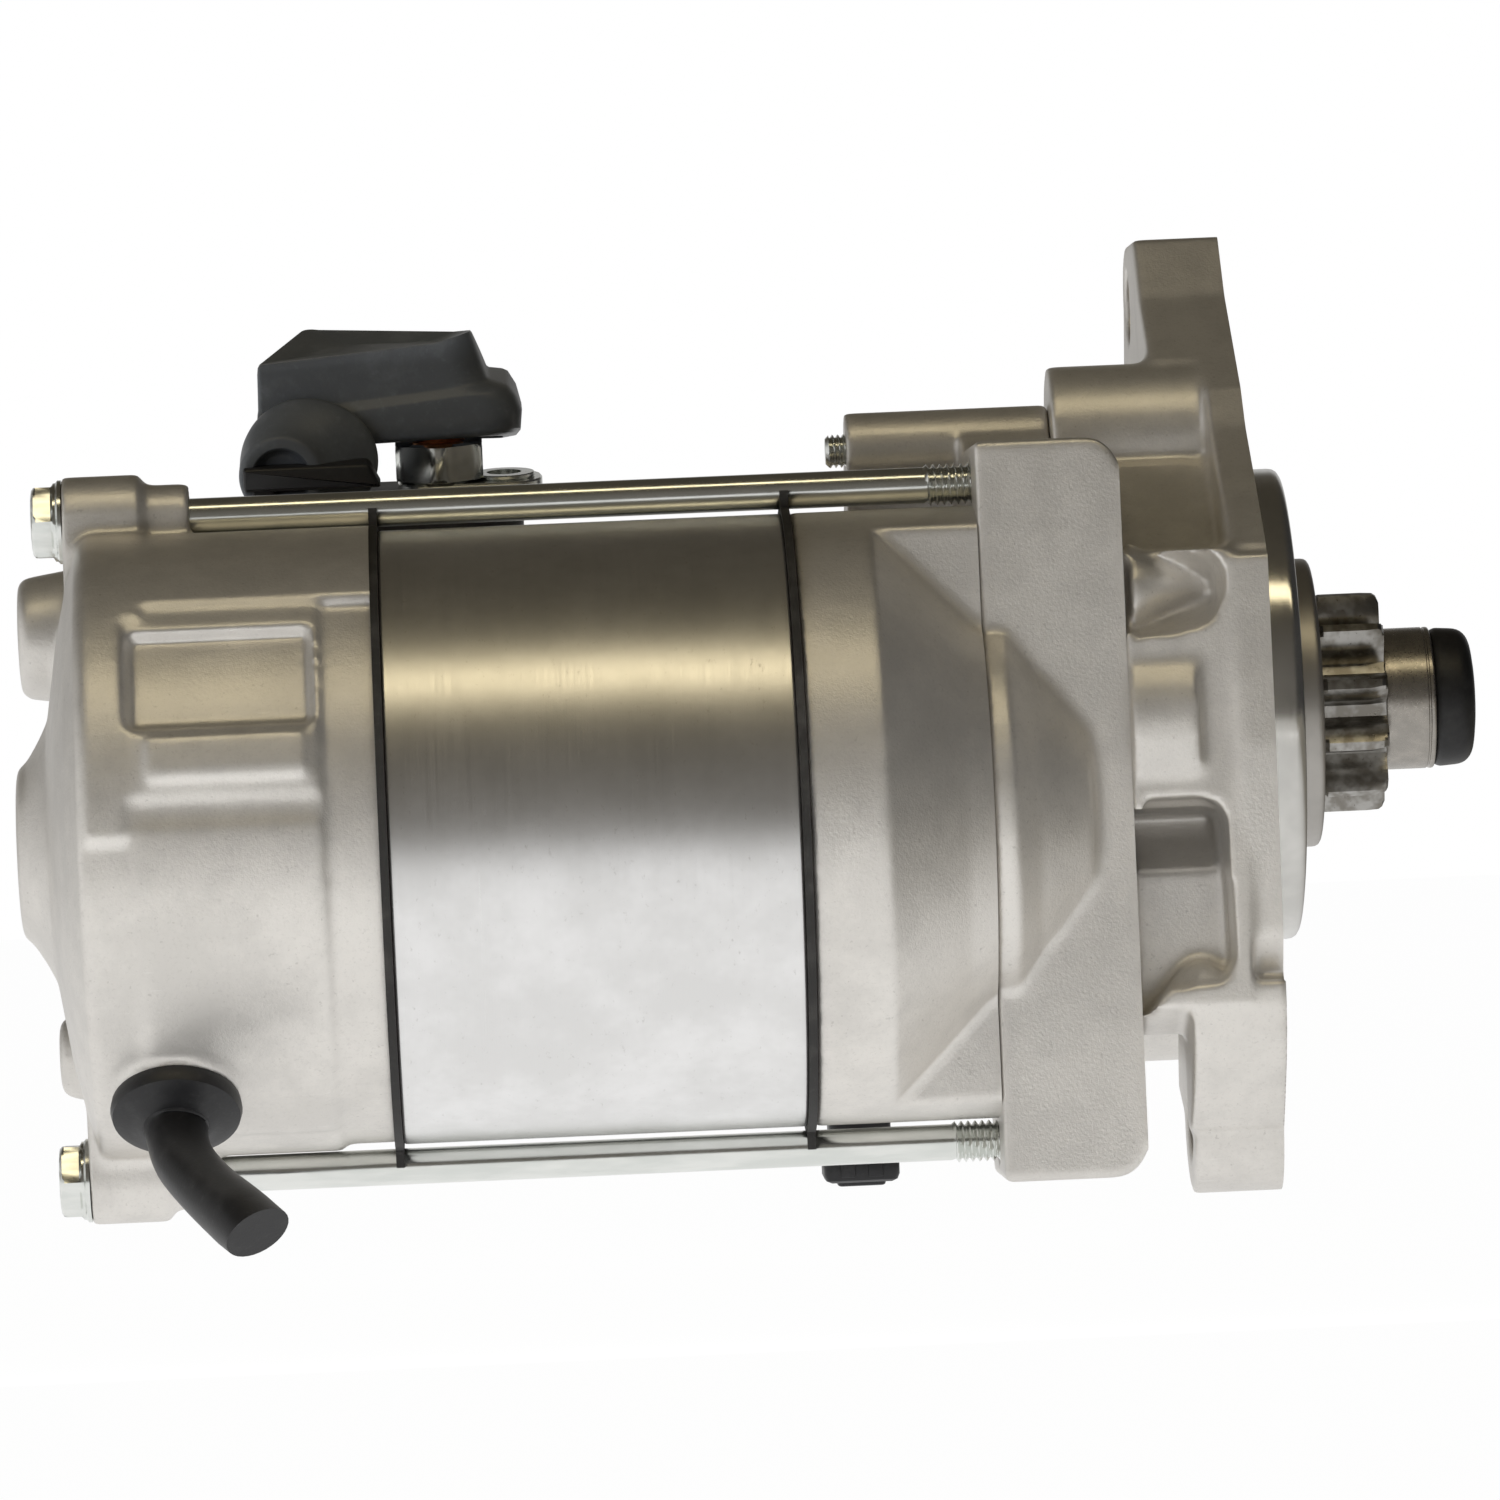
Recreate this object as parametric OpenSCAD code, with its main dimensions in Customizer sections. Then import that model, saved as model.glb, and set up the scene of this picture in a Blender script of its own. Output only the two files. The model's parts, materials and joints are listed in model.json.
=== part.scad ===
// Offset gear-reduction starter motor for a diesel engine, 12 V, about 2 kW.
// Millimetres. The origin is the centre of the pilot on the mounting face.
// +X runs along the pinion towards the engine, +Z is up, the motor lies towards -Y.

/* [Motor] */
// Outer diameter of the steel yoke
yoke_d = 88; // [86:0.5:90]
// Length of the steel yoke between its gaskets
yoke_len = 57.7; // [56:0.5:64]
// Wall of the yoke
yoke_wall = 4.5; // [3.5:0.25:5.5]
// Thickness of the gasket at each end of the yoke
gasket_t = 1.2; // [0.8:0.1:2]
// Gap between the yoke and the switch housing, along Y
switch_gap = 0.5; // [0.2:0.1:1]
// Drop of the motor axis below the pinion axis
motor_drop = 13.8; // [13:0.2:15]
// Length of the cylindrical part of the commutator end frame
end_frame_len = 41.6; // [40:0.5:46]
// Wall of the commutator end frame
end_frame_wall = 3.5; // [2.5:0.25:4.5]
// Length of the front frame between the yoke and the gear case
front_frame_len = 26.3; // [25.5:0.25:30]
// Depth of the field from the bore of the yoke to the pole faces
field_depth = 11.9; // [10.5:0.1:14]
// Air gap between the armature and the pole shoes
air_gap = 0.6; // [0.4:0.1:1]
// Diameter of the armature shaft in the core
shaft_d = 14; // [12:0.5:16]
// Number of armature slots and commutator bars
bar_count = 25; // [19:2:31]
// Diameter of the commutator
commutator_d = 34; // [30:0.5:36]
// Width of a carbon brush along the shaft
brush_w = 14; // [10:0.5:16]
// Thickness of a carbon brush round the commutator
brush_t = 7; // [5:0.5:8]
// Length of a brush spring behind a new brush
brush_spring_len = 4.4; // [4:0.1:7]

/* [Through bolts] */
// Shank diameter of a through bolt
bolt_shank_d = 5.2; // [4.5:0.1:5.6]
// Thread diameter of a through bolt
bolt_thread_d = 6; // [5.8:0.1:6.4]
// Width of a bolt head across its flats
bolt_head_af = 10; // [8:0.5:11]
// Gap between a through bolt and the yoke
bolt_gap = 0.6; // [0.5:0.1:1.5]

/* [Gear case] */
// Length of the gear case block along the shaft
block_len = 20.5; // [20:0.5:24]
// Half depth of the block on the motor side
block_half = 16; // [14:0.5:18]
// Metal of the block beyond the axis of a through bolt
bolt_edge = 5.5; // [4.5:0.25:8]
// Wall of the gear case and the drive housing
case_wall = 4.5; // [3.5:0.25:5.5]
// Length of the drive housing behind the mounting face
housing_len = 20.5; // [20:0.5:24]

/* [Mounting] */
// Diameter of the pilot
pilot_d = 71; // [68:0.5:73]
// Height of the pilot above the mounting face
pilot_len = 8.8; // [8.5:0.1:12]
// Diameter of the nose round the pinion shaft
nose_d = 43.5; // [41:0.5:48]
// Height of the nose above the pilot
nose_len = 4; // [3.5:0.25:6]
// Thickness of the flange between its ears
flange_t = 5.3; // [4.5:0.1:8]
// Thickness of the flange ears
ear_t = 12.8; // [10:0.25:15]
// Diameter of a mounting hole
mount_hole_d = 10.4; // [8.5:0.1:12.5]
// Upper mounting hole, from the pinion axis along Y
top_hole_y = -2; // [-5:0.5:2]
// Upper mounting hole, from the pinion axis along Z
top_hole_z = 60.6; // [58:0.1:63]
// Lower mounting hole, from the pinion axis along Y
low_hole_y = -61; // [-64:0.5:-58]
// Lower mounting hole, from the pinion axis along Z
low_hole_z = -59.6; // [-62:0.1:-57]

/* [Gear train] */
// Module of the reduction gears
gear_module = 1.75; // [1.7:0.01:1.76]
// Teeth cut on the armature shaft
armature_teeth = 11; // [11:1:11]
// Teeth of the clutch gear
clutch_teeth = 34; // [34:1:35]
// Width of the gears
gear_w = 12; // [9:0.5:12.5]
// Play added to each centre distance
mesh_play = 0.1; // [0.05:0.05:0.15]
// Diameter of the idler pin
idler_pin_d = 10; // [8:0.5:12]
// Diameter of an idler needle roller
needle_d = 3; // [2.5:0.25:3.5]

/* [Pinion] */
// Number of pinion teeth
pinion_teeth = 11; // [10:1:12]
// Module of the pinion
pinion_module = 2.54; // [2.4:0.02:2.6]
// Length of the pinion
pinion_len = 9.8; // [8:0.2:14]
// Travel of the pinion and the plunger
travel = 10; // [6:0.5:10]
// Diameter of the pinion shaft
pinion_shaft_d = 14.8; // [13:0.1:15.4]
// Outer diameter of the drive sleeve in its bearings
sleeve_d = 25; // [24.5:0.1:25.5]
// Diameter of the stop collar in front of the pinion
collar_d = 21.3; // [19.5:0.1:24]
// Length of the stop collar
collar_len = 7.7; // [6:0.1:10]
// Length of the rubber end cap
cap_len = 6.3; // [5:0.1:9]

/* [Magnetic switch] */
// Outer diameter of the switch housing
switch_d = 51; // [49:0.25:51.5]
// Wall of the switch housing
switch_wall = 3; // [2.5:0.25:3.5]
// Length of the switch housing behind the gear case
switch_len = 109; // [108:0.5:116]
// Diameter of the plunger
plunger_d = 20; // [18:0.25:20.5]
// Diameter of the plunger rod
rod_d = 6; // [5:0.25:6.5]
// Diameter of the battery stud
stud_d = 8; // [6:0.5:8.5]
// Lean of the terminals towards the motor, in degrees
terminal_lean = 10; // [6:1:12]

/* [Clearances] */
// Radial clearance of a running fit
run_fit = 0.05; // [0.03:0.01:0.08]
// Clearance between pieces that pass each other
pass_gap = 0.3; // [0.3:0.05:0.5]
// Clearance of a screw in its hole, on the diameter
screw_gap = 0.5; // [0.3:0.1:1]

/* [Hidden] */
$fn = 96;

cast = [0.72, 0.71, 0.68];
steel = [0.62, 0.62, 0.62];
dark_steel = [0.36, 0.36, 0.35];
zinc = [0.82, 0.84, 0.82];
copper = [0.72, 0.43, 0.24];
bronze = [0.71, 0.55, 0.3];
rubber = [0.07, 0.07, 0.07];
grey_rubber = [0.25, 0.27, 0.3];
plastic = [0.12, 0.12, 0.13];
carbon = [0.17, 0.16, 0.16];

// Stations along X, from the mounting face backwards
housing_x = -housing_len;
block_x = housing_x - block_len;
front_x = block_x - front_frame_len;
yoke_x1 = front_x - gasket_t;
yoke_x0 = yoke_x1 - yoke_len;
rim_x = yoke_x0 - gasket_t;
end_x = rim_x - end_frame_len;
switch_x = block_x - switch_len;
yoke_r = yoke_d / 2;
bore_r = yoke_r - yoke_wall;
armature_d = 2 * (bore_r - field_depth - air_gap);
bolt_offset = yoke_r + bolt_shank_d / 2 + bolt_gap;
block_rise = bolt_offset + bolt_edge;
motor_back = yoke_r + switch_d / 2 + switch_gap;
motor_y = -motor_back;
motor_z = -motor_drop;

// Gear train: the idler fills the space between the two shafts, a little above their line
armature_pitch_r = gear_module * armature_teeth / 2;
clutch_pitch_r = gear_module * clutch_teeth / 2;
shaft_centre = norm([motor_back, motor_drop]);
idler_teeth = ceil((shaft_centre - armature_pitch_r - clutch_pitch_r) / gear_module);
idler_pitch_r = gear_module * idler_teeth / 2;
first_centre = armature_pitch_r + idler_pitch_r + mesh_play;
second_centre = idler_pitch_r + clutch_pitch_r + mesh_play;
line_share = (second_centre ^ 2 - first_centre ^ 2 + shaft_centre ^ 2) / (2 * shaft_centre);
line_rise = sqrt(max(0, second_centre ^ 2 - line_share ^ 2));
idler_y = (-motor_back * line_share - motor_drop * line_rise) / shaft_centre;
idler_z = (-motor_drop * line_share + motor_back * line_rise) / shaft_centre;
pressure_angle = 20;
stub = 0.8;
root_depth = 1.05;
backlash_angle = 0.25;
gear_x1 = housing_x - 0.5;
gear_x0 = gear_x1 - gear_w;
armature_to_idler = atan2(idler_z - motor_z, idler_y - motor_y);
idler_to_clutch = atan2(-idler_z, -idler_y);
idler_turn = armature_to_idler + 180 + 180 / idler_teeth;
clutch_turn = idler_to_clutch + 180
    + (idler_to_clutch - idler_turn) * idler_teeth / clutch_teeth + 180 / clutch_teeth;
gear_clear = 1.8;
clutch_tip_r = clutch_pitch_r + stub * gear_module;
idler_tip_r = idler_pitch_r + stub * gear_module;
armature_tip_r = armature_pitch_r + stub * gear_module;
case_r = clutch_tip_r + gear_clear;

// Round bars, tubes and plates along X
module along_x() rotate([90, 0, 90]) children();
module rod(d, x0, x1) along_x() translate([0, 0, x0]) cylinder(d = d, h = x1 - x0);
module tube(d_out, d_in, x0, x1) difference() {
    rod(d_out, x0, x1);
    rod(d_in, x0 - 1, x1 + 1);
}
module turned(profile) along_x() rotate_extrude() polygon([for (p = profile) [p[1], p[0]]]);
module plate(x0, x1) along_x() translate([0, 0, x0]) linear_extrude(x1 - x0) children();
module sector(r0, r1, a0, a1, x0, x1) along_x() rotate([0, 0, a0])
    rotate_extrude(angle = a1 - a0) translate([r0, x0]) square([r1 - r0, x1 - x0]);
module round_off(angle, radius) translate([0, radius * cos(angle), radius * sin(angle)]) children();
module at_motor() translate([0, motor_y, motor_z]) children();
module at_idler() translate([0, idler_y, idler_z]) children();
module hex_prism(af, x0, x1) along_x() translate([0, 0, x0])
    cylinder(d = af / cos(30), h = x1 - x0, $fn = 6);
module band(p, q, r) polygon([p + r * side(p, q), q + r * side(p, q), q - r * side(p, q), p - r * side(p, q)]);
function side(p, q) = [p[1] - q[1], q[0] - p[0]] / norm(q - p);

// A swept round tube: rings of a given radius along a list of points
function along(p, i) = p[min(i + 1, len(p) - 1)] - p[max(i - 1, 0)];
function unit(v) = v / norm(v);
function ring_at(c, dir, r, n) = let (
        d = unit(dir),
        s = unit(cross([1, 0, 0], d)),
        t = cross(d, s))
    [for (k = [0:n - 1]) c + r * (s * cos(360 * k / n) + t * sin(360 * k / n))];
module sweep(points, radii, n) {
    last = len(points) - 1;
    rings = [for (i = [0:last]) each ring_at(points[i], along(points, i), radii[i], n)];
    sides = [for (i = [0:last - 1], k = [0:n - 1]) let (a = i * n, b = a + n, next = (k + 1) % n)
        each [[a + k, b + k, b + next], [a + k, b + next, a + next]]];
    polyhedron(rings, concat([[for (k = [0:n - 1]) k]], [[for (k = [n - 1:-1:0]) last * n + k]], sides),
        convexity = 6);
}
// A coil spring along X from x0 to x1, wound on the X axis
module coil_spring(mean_r, wire_d, x0, x1, turns, steps, n) {
    count = turns * steps;
    sweep([for (i = [0:count]) [x0 + wire_d / 2 + (x1 - x0 - wire_d) * i / count,
        mean_r * cos(360 * i / steps), mean_r * sin(360 * i / steps)]],
        [for (i = [0:count]) wire_d / 2], n);
}

// Involute gear outline
function spread(a) = tan(a) * 180 / PI - a;
function half_tooth(r, teeth, m) = let (base = m * teeth / 2 * cos(pressure_angle))
    90 / teeth + spread(pressure_angle) - spread(acos(min(1, base / max(r, base)))) - backlash_angle;
module gear_outline(teeth, m, add, ded, turn) {
    pitch_r = m * teeth / 2;
    root_r = pitch_r - ded * m;
    tip_r = pitch_r + add * m;
    radii = [for (k = [0:5]) root_r + (tip_r - root_r) * k / 5];
    pitch = 360 / teeth;
    polygon([for (tooth = [0:teeth - 1]) each concat(
        [for (r = radii) let (a = turn + tooth * pitch - half_tooth(r, teeth, m)) [r * cos(a), r * sin(a)]],
        [for (k = [5:-1:0]) let (r = radii[k], a = turn + tooth * pitch + half_tooth(r, teeth, m))
            [r * cos(a), r * sin(a)]])]);
}

// Ball bearings, each [axis y, axis z, bore, outer diameter, first x, width]
bearing_w = 9;
sleeve_bearing_d = sleeve_d + 17;
motor_bearing_d = 32;
rear_bearing_d = 22;
rear_bearing_w = 7;
rear_journal_d = 8;
front_journal_d = 12;
race_w = 0.28;
rear_bearing_x = end_x - 7;
front_bearing_x = block_x - bearing_w - 1;
sleeve_rear_x = block_x - bearing_w + 3.5;
sleeve_front_x = pilot_len - bearing_w - 0.3;
BEARINGS = [
    [motor_y, motor_z, rear_journal_d, rear_bearing_d, rear_bearing_x, rear_bearing_w],
    [motor_y, motor_z, front_journal_d, motor_bearing_d, front_bearing_x, bearing_w],
    [0, 0, sleeve_d, sleeve_bearing_d, sleeve_rear_x, bearing_w],
    [0, 0, sleeve_d, sleeve_bearing_d, sleeve_front_x, bearing_w]];
function ball_r(b) = (b[3] - b[2]) / 2 * race_w;
function ball_track(b) = (b[3] + b[2]) / 4;
function ball_count(b) = floor(180 / asin(ball_r(b) / ball_track(b)) * 0.8);
module at_bearing(b) translate([0, b[0], b[1]]) children();
module groove(b, r) along_x() translate([0, 0, b[4] + b[5] / 2])
    rotate_extrude() translate([ball_track(b), 0]) circle(r = r, $fn = 32);
module outer_race(b) difference() {
    tube(b[3], 2 * (ball_track(b) + ball_r(b) * 0.45), b[4], b[4] + b[5]);
    groove(b, ball_r(b));
}
module inner_race(b) difference() {
    tube(2 * (ball_track(b) - ball_r(b) * 0.45), b[2], b[4], b[4] + b[5]);
    groove(b, ball_r(b) + run_fit);
}
module balls(b) for (k = [0:ball_count(b) - 1])
    round_off(360 * k / ball_count(b), ball_track(b)) translate([b[4] + b[5] / 2, 0, 0])
        sphere(r = ball_r(b) - run_fit / 2, $fn = 32);
module ball_bearings() color(steel) for (b = BEARINGS) at_bearing(b) {
    outer_race(b);
    balls(b);
}
module armature_bearing_races() color(steel) for (b = [BEARINGS[0], BEARINGS[1]])
    at_bearing(b) inner_race(b);
module sleeve_bearing_races() color(steel) for (b = [BEARINGS[2], BEARINGS[3]])
    at_bearing(b) inner_race(b);

// Commutator end frame
hub_x = end_x - 10.3;
end_r = yoke_r + 0.5;
ear_r = 6.4;
ear_x = end_x - 2.2;
ear_w = 11.5;
spacer_r = 4.8;
spacer_w = 6.8;
rim_w = 7.6;
drain_angle = 232;
drain_x = end_x + 11.4;
lead_angle = -40;
lead_x = rim_x - 12.6;
lead_d = 6;
ledge_angle = 130.6;
ledge_span = 60;
step = 0.05;
channel_angles = [138, 156.1];
rib_angles = [156.7, 170.7];
belt_low_angle = 247;
module end_frame_shell() turned([[rim_x, 0], [rim_x, end_r - 0.9], [rim_x - rim_w, end_r - 0.9],
    [rim_x - rim_w, end_r], [end_x, end_r], [end_x - 2, end_r - 6.5], [end_x - 3.6, 31],
    [end_x - 4.7, 24], [end_x - 5.5, 19], [end_x - 7, 16], [end_x - 9, 12.8], [hub_x, 12], [hub_x, 0]]);
module end_frame_cavity() turned([[rim_x + 1, 0], [rim_x + 1, bore_r + 1], [rim_x - 3, bore_r + 1],
    [rim_x - 3, end_r - 0.9 - end_frame_wall], [end_x + 3, end_r - 0.9 - end_frame_wall],
    [end_x, end_r - 9], [end_x - 1, 15.5], [end_x - 1, 0]]);
module ear_outline(r, root) {
    translate([root, -r]) square([bolt_offset - root, 2 * r]);
    translate([bolt_offset, 0]) circle(r = r);
}
module end_ears() for (up = [90, -90]) {
    plate(ear_x, ear_x + ear_w) rotate(up) ear_outline(ear_r, 30);
    plate(ear_x + ear_w, ear_x + ear_w + spacer_w) rotate(up) ear_outline(spacer_r, 36);
}
module rear_boss(y, z, r, x0) translate([0, y, z])
    turned([[end_x, 0], [end_x, r + 2], [x0 + 1, r + 0.6], [x0, r - 0.4], [x0, 0]]);
module commutator_end_frame() color(cast) at_motor() difference() {
    union() {
        end_frame_shell();
        end_ears();
        rear_boss(20, 31, 8.2, hub_x + 0.3);
        rear_boss(20, -30, 5.2, hub_x + 3.6);
        sector(end_r - 2, end_r - step, ledge_angle - ledge_span, ledge_angle, rim_x - rim_w - 1, rim_x);
        sector(end_r - 1, end_r + 0.7, rib_angles[0], rib_angles[1], end_x + 7.4, rim_x - rim_w - step);
        translate([drain_x, 0, 0]) rotate([drain_angle - 90, 0, 0]) translate([0, 0, end_r - 3])
            cylinder(d = drain_flange_d - 1, h = 4);
    }
    end_frame_cavity();
    rod(rear_bearing_d, rear_bearing_x, end_x);
    rod(rear_journal_d + 4, rear_bearing_x - 1, rear_bearing_x + 1);
    sector(end_r - 1.2, end_r + 2, channel_angles[0], channel_angles[1], end_x + 8, rim_x - rim_w - 0.6);
    for (up = [90, -90]) round_off(up, bolt_offset)
        rod(bolt_thread_d + screw_gap, ear_x - 1, ear_x + ear_w + spacer_w + 1);
    translate([drain_x, 0, 0]) rotate([drain_angle - 90, 0, 0]) translate([0, 0, 30])
        cylinder(d = drain_stem_d, h = 20);
    translate([lead_x, 0, 0]) rotate([lead_angle - 90, 0, 0]) translate([0, 0, 30])
        cylinder(d = lead_d, h = 20);
}

// Yoke, its gaskets and its field
gasket_rim = 1;
module gasket(x) at_motor() difference() {
    union() {
        rod(yoke_d + 2 * gasket_rim, x, x + gasket_t);
        for (up = [90, -90]) plate(x, x + gasket_t) rotate(up)
            translate([yoke_r - 4, -4.5]) square([bolt_offset - yoke_r + 4, 9]);
    }
    rod(2 * bore_r, x - 1, x + gasket_t + 1);
    for (up = [90, -90]) round_off(up, bolt_offset)
        rod(bolt_shank_d + screw_gap, x - 1, x + gasket_t + 1);
}
module yoke_gaskets() color(rubber) {
    gasket(rim_x);
    gasket(yoke_x1);
}
pole_angles = [45, 135, 225, 315];
pole_x0 = yoke_x0 + 8;
pole_x1 = yoke_x1 - 8;
pole_face_r = armature_d / 2 + air_gap;
pole_tip = 3;
seat_gap = 0.02;
core_half_angle = 17;
module yoke() color(steel) at_motor() tube(yoke_d, 2 * bore_r, yoke_x0, yoke_x1);
module pole_shoes() color(dark_steel) at_motor() for (a = pole_angles) {
    sector(pole_face_r, pole_face_r + pole_tip, a - 34, a + 34, pole_x0, pole_x1);
    sector(pole_face_r + 1, bore_r - seat_gap, a - core_half_angle, a + core_half_angle, pole_x0, pole_x1);
}
module field_coils() color(copper) at_motor() for (a = pole_angles) difference() {
    sector(pole_face_r + pole_tip, bore_r - 0.4, a - 41, a + 41, pole_x0 - 6, pole_x1 + 3.5);
    sector(pole_face_r, bore_r + 1, a - core_half_angle, a + core_half_angle, pole_x0, pole_x1);
}

// Front frame between the yoke and the gear case
spigot = 3;
cone_x = front_x + 10.8;
cone_r = 30;
front_seat_r = motor_bearing_d / 2;
module front_frame() color(cast) at_motor() difference() {
    union() {
        turned([[front_x, 0], [front_x, yoke_r], [cone_x, yoke_r], [block_x, cone_r], [block_x, 0]]);
        intersection() {
            rod(yoke_d, front_x, block_x);
            translate([front_x, -block_half, -yoke_r]) cube([front_frame_len, 2 * block_half, yoke_d]);
        }
        rod(2 * bore_r, front_x - gasket_t - spigot, front_x + 1);
        at_drain_plug() cylinder(r = plug_r + 1.5, h = plug_in + 0.5);
    }
    turned([[front_x - gasket_t - spigot - 1, 0], [front_x - gasket_t - spigot - 1, bore_r - 3],
        [cone_x - 2, bore_r - 3], [front_bearing_x - 1, front_seat_r + 3],
        [front_bearing_x - 1, front_seat_r - 3], [front_bearing_x, front_seat_r - 3],
        [front_bearing_x, front_seat_r], [block_x + 1, front_seat_r], [block_x + 1, 0]]);
    at_drain_plug() translate([0, 0, -6]) cylinder(r = plug_stem_r, h = 20);
}
plug_angle = -68;
plug_r = 4.5;
plug_stem_r = 3;
plug_in = 1.5;
plug_len = 11;
module at_drain_plug() translate([front_x + 7, 0, 0]) rotate([plug_angle - 90, 0, 0])
    translate([0, 0, yoke_r - 1]) children();
module drain_plug() color(rubber) at_motor() at_drain_plug() difference() {
    union() {
        translate([0, 0, -3]) cylinder(r = plug_stem_r, h = 5);
        translate([-plug_r - 1, -plug_r, plug_in + 0.5]) cube([2 * plug_r + 2, 2 * plug_r, plug_len]);
    }
    translate([-plug_r + 1.5, -plug_r - 1, plug_len - 5]) cube([2 * plug_r - 3, 2 * plug_r + 2, 3]);
}

// Armature
core_x0 = pole_x0 + 1;
core_x1 = pole_x1 - 1;
slot_depth = 8;
slot_w = 3;
winding_r0 = armature_d / 2 - slot_depth;
commutator_x1 = core_x0 - 12;
commutator_x0 = commutator_x1 - 18;
pinion_bore_gap = 0.3;
module armature_shaft() color(steel) at_motor() {
    rod(rear_journal_d, rear_bearing_x + 0.3, commutator_x0 - 4);
    rod(shaft_d, commutator_x0 - 4, front_bearing_x - 1);
    rod(front_journal_d, front_bearing_x - 1, block_x + 3);
    rod(2 * (armature_pitch_r - root_depth * gear_module), block_x + 3, gear_x0);
    plate(gear_x0 - 1, gear_x1 + 0.1)
        gear_outline(armature_teeth, gear_module, stub, root_depth, armature_to_idler);
}
module slots(r0, r1, w) for (k = [0:bar_count - 1]) rotate(360 * k / bar_count)
    translate([r0, -w / 2]) square([r1 - r0, w]);
module armature_core() color(dark_steel) at_motor() plate(core_x0, core_x1) difference() {
    circle(d = armature_d);
    circle(d = shaft_d);
    slots(winding_r0, armature_d, slot_w);
}
module armature_winding() color(copper) at_motor() {
    tube(2 * (armature_d / 2 - 1.5), 2 * (winding_r0 - 4), core_x0 - 9, core_x0);
    tube(2 * (armature_d / 2 - 1.5), 2 * (winding_r0 - 4), core_x1, core_x1 + 6);
    plate(core_x0, core_x1) slots(winding_r0 + 0.2, armature_d / 2 - 1, slot_w - 0.4);
    tube(2 * winding_r0, commutator_d - 4, commutator_x1, core_x0 - 8);
    tube(commutator_d, shaft_d, core_x0 - 9, core_x0);
}
module commutator() color(copper) at_motor() {
    plate(commutator_x0, commutator_x1) difference() {
        circle(d = commutator_d);
        circle(d = commutator_d - 9);
        slots(commutator_d / 2 - 1.5, commutator_d, 0.6);
    }
    color(plastic) tube(commutator_d - 9, shaft_d, commutator_x0, commutator_x1);
}

// Brushes ride in four holders round the commutator, pushed in by springs
brush_angles = [0, 90, 180, 270];
brush_x = (commutator_x0 + commutator_x1) / 2;
holder_wall = 1.5;
holder_gap = 0.2;
holder_r1 = bore_r - 2.5;
brush_r0 = commutator_d / 2 + 0.1;
brush_r1 = holder_r1 - holder_wall - brush_spring_len;
holder_plate_x = commutator_x0 - 5.5;
spring_r = 2.6;
spring_wire = 0.9;
module radial_box(w, t, r0, r1) translate([brush_x, 0, 0])
    translate([-w / 2, r0, -t / 2]) cube([w, r1 - r0, t]);
module brush(k) color(carbon) at_motor() rotate([brush_angles[k - 1], 0, 0]) difference() {
    radial_box(brush_w, brush_t, brush_r0, brush_r1);
    rod(commutator_d + 0.2, brush_x - brush_w, brush_x + brush_w);
}
module brush_1() brush(1);
module brush_2() brush(2);
module brush_3() brush(3);
module brush_4() brush(4);
module brush_holder() color(zinc) at_motor() {
    tube(2 * (holder_r1 + 1), commutator_d + 8, holder_plate_x, brush_x - brush_w / 2 - holder_gap);
    for (a = brush_angles) rotate([a, 0, 0]) difference() {
        radial_box(brush_w + 2 * (holder_gap + holder_wall), brush_t + 2 * (holder_gap + holder_wall),
            brush_r0 + 2, holder_r1);
        radial_box(brush_w + 2 * holder_gap, brush_t + 2 * holder_gap, brush_r0, holder_r1 - holder_wall);
    }
}
module brush_springs() color(steel) at_motor() for (a = brush_angles) rotate([a, 0, 0])
    translate([brush_x, 0, 0]) rotate([0, 0, 90])
        coil_spring(spring_r, spring_wire, brush_r1, holder_r1 - holder_wall, 3, 12, 6);

// Through bolts
head_x = ear_x - 4.4;
washer_t = 1.2;
bolt_end_x = housing_x - 5;
module through_bolts() color(zinc) at_motor() for (up = [90, -90]) round_off(up, bolt_offset) {
    hex_prism(bolt_head_af, head_x, ear_x - washer_t);
    rod(bolt_head_af + 2, ear_x - washer_t, ear_x);
    rod(bolt_shank_d, ear_x, block_x - 6);
    rod(bolt_thread_d, block_x - 6, bolt_end_x);
}

// Drain tube: a moulded elbow that turns down and forwards
drain_stem_d = 8;
drain_flange_d = 18.4;
drain_tube_r = 5;
DRAIN_OUT = [0, cos(drain_angle), sin(drain_angle)];
DRAIN_PATH = [(end_r + 3.9) * DRAIN_OUT, (end_r + 8.5) * DRAIN_OUT, [1.5, -39, -45.6], [5, -46.5, -49.3],
    [8.8, -53.5, -52.4], [11.6, -58.6, -55.4]];
module drain_tube() color(rubber) at_motor() translate([drain_x, 0, 0]) {
    rotate([drain_angle - 90, 0, 0]) translate([0, 0, end_r - 4]) cylinder(d = drain_stem_d, h = 6);
    rotate([drain_angle - 90, 0, 0]) translate([0, 0, end_r + 1])
        cylinder(d1 = drain_flange_d, d2 = drain_flange_d - 4, h = 3);
    sweep(DRAIN_PATH, [4, 4.6, drain_tube_r, drain_tube_r, drain_tube_r + 0.4, drain_tube_r], 16);
}

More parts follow.
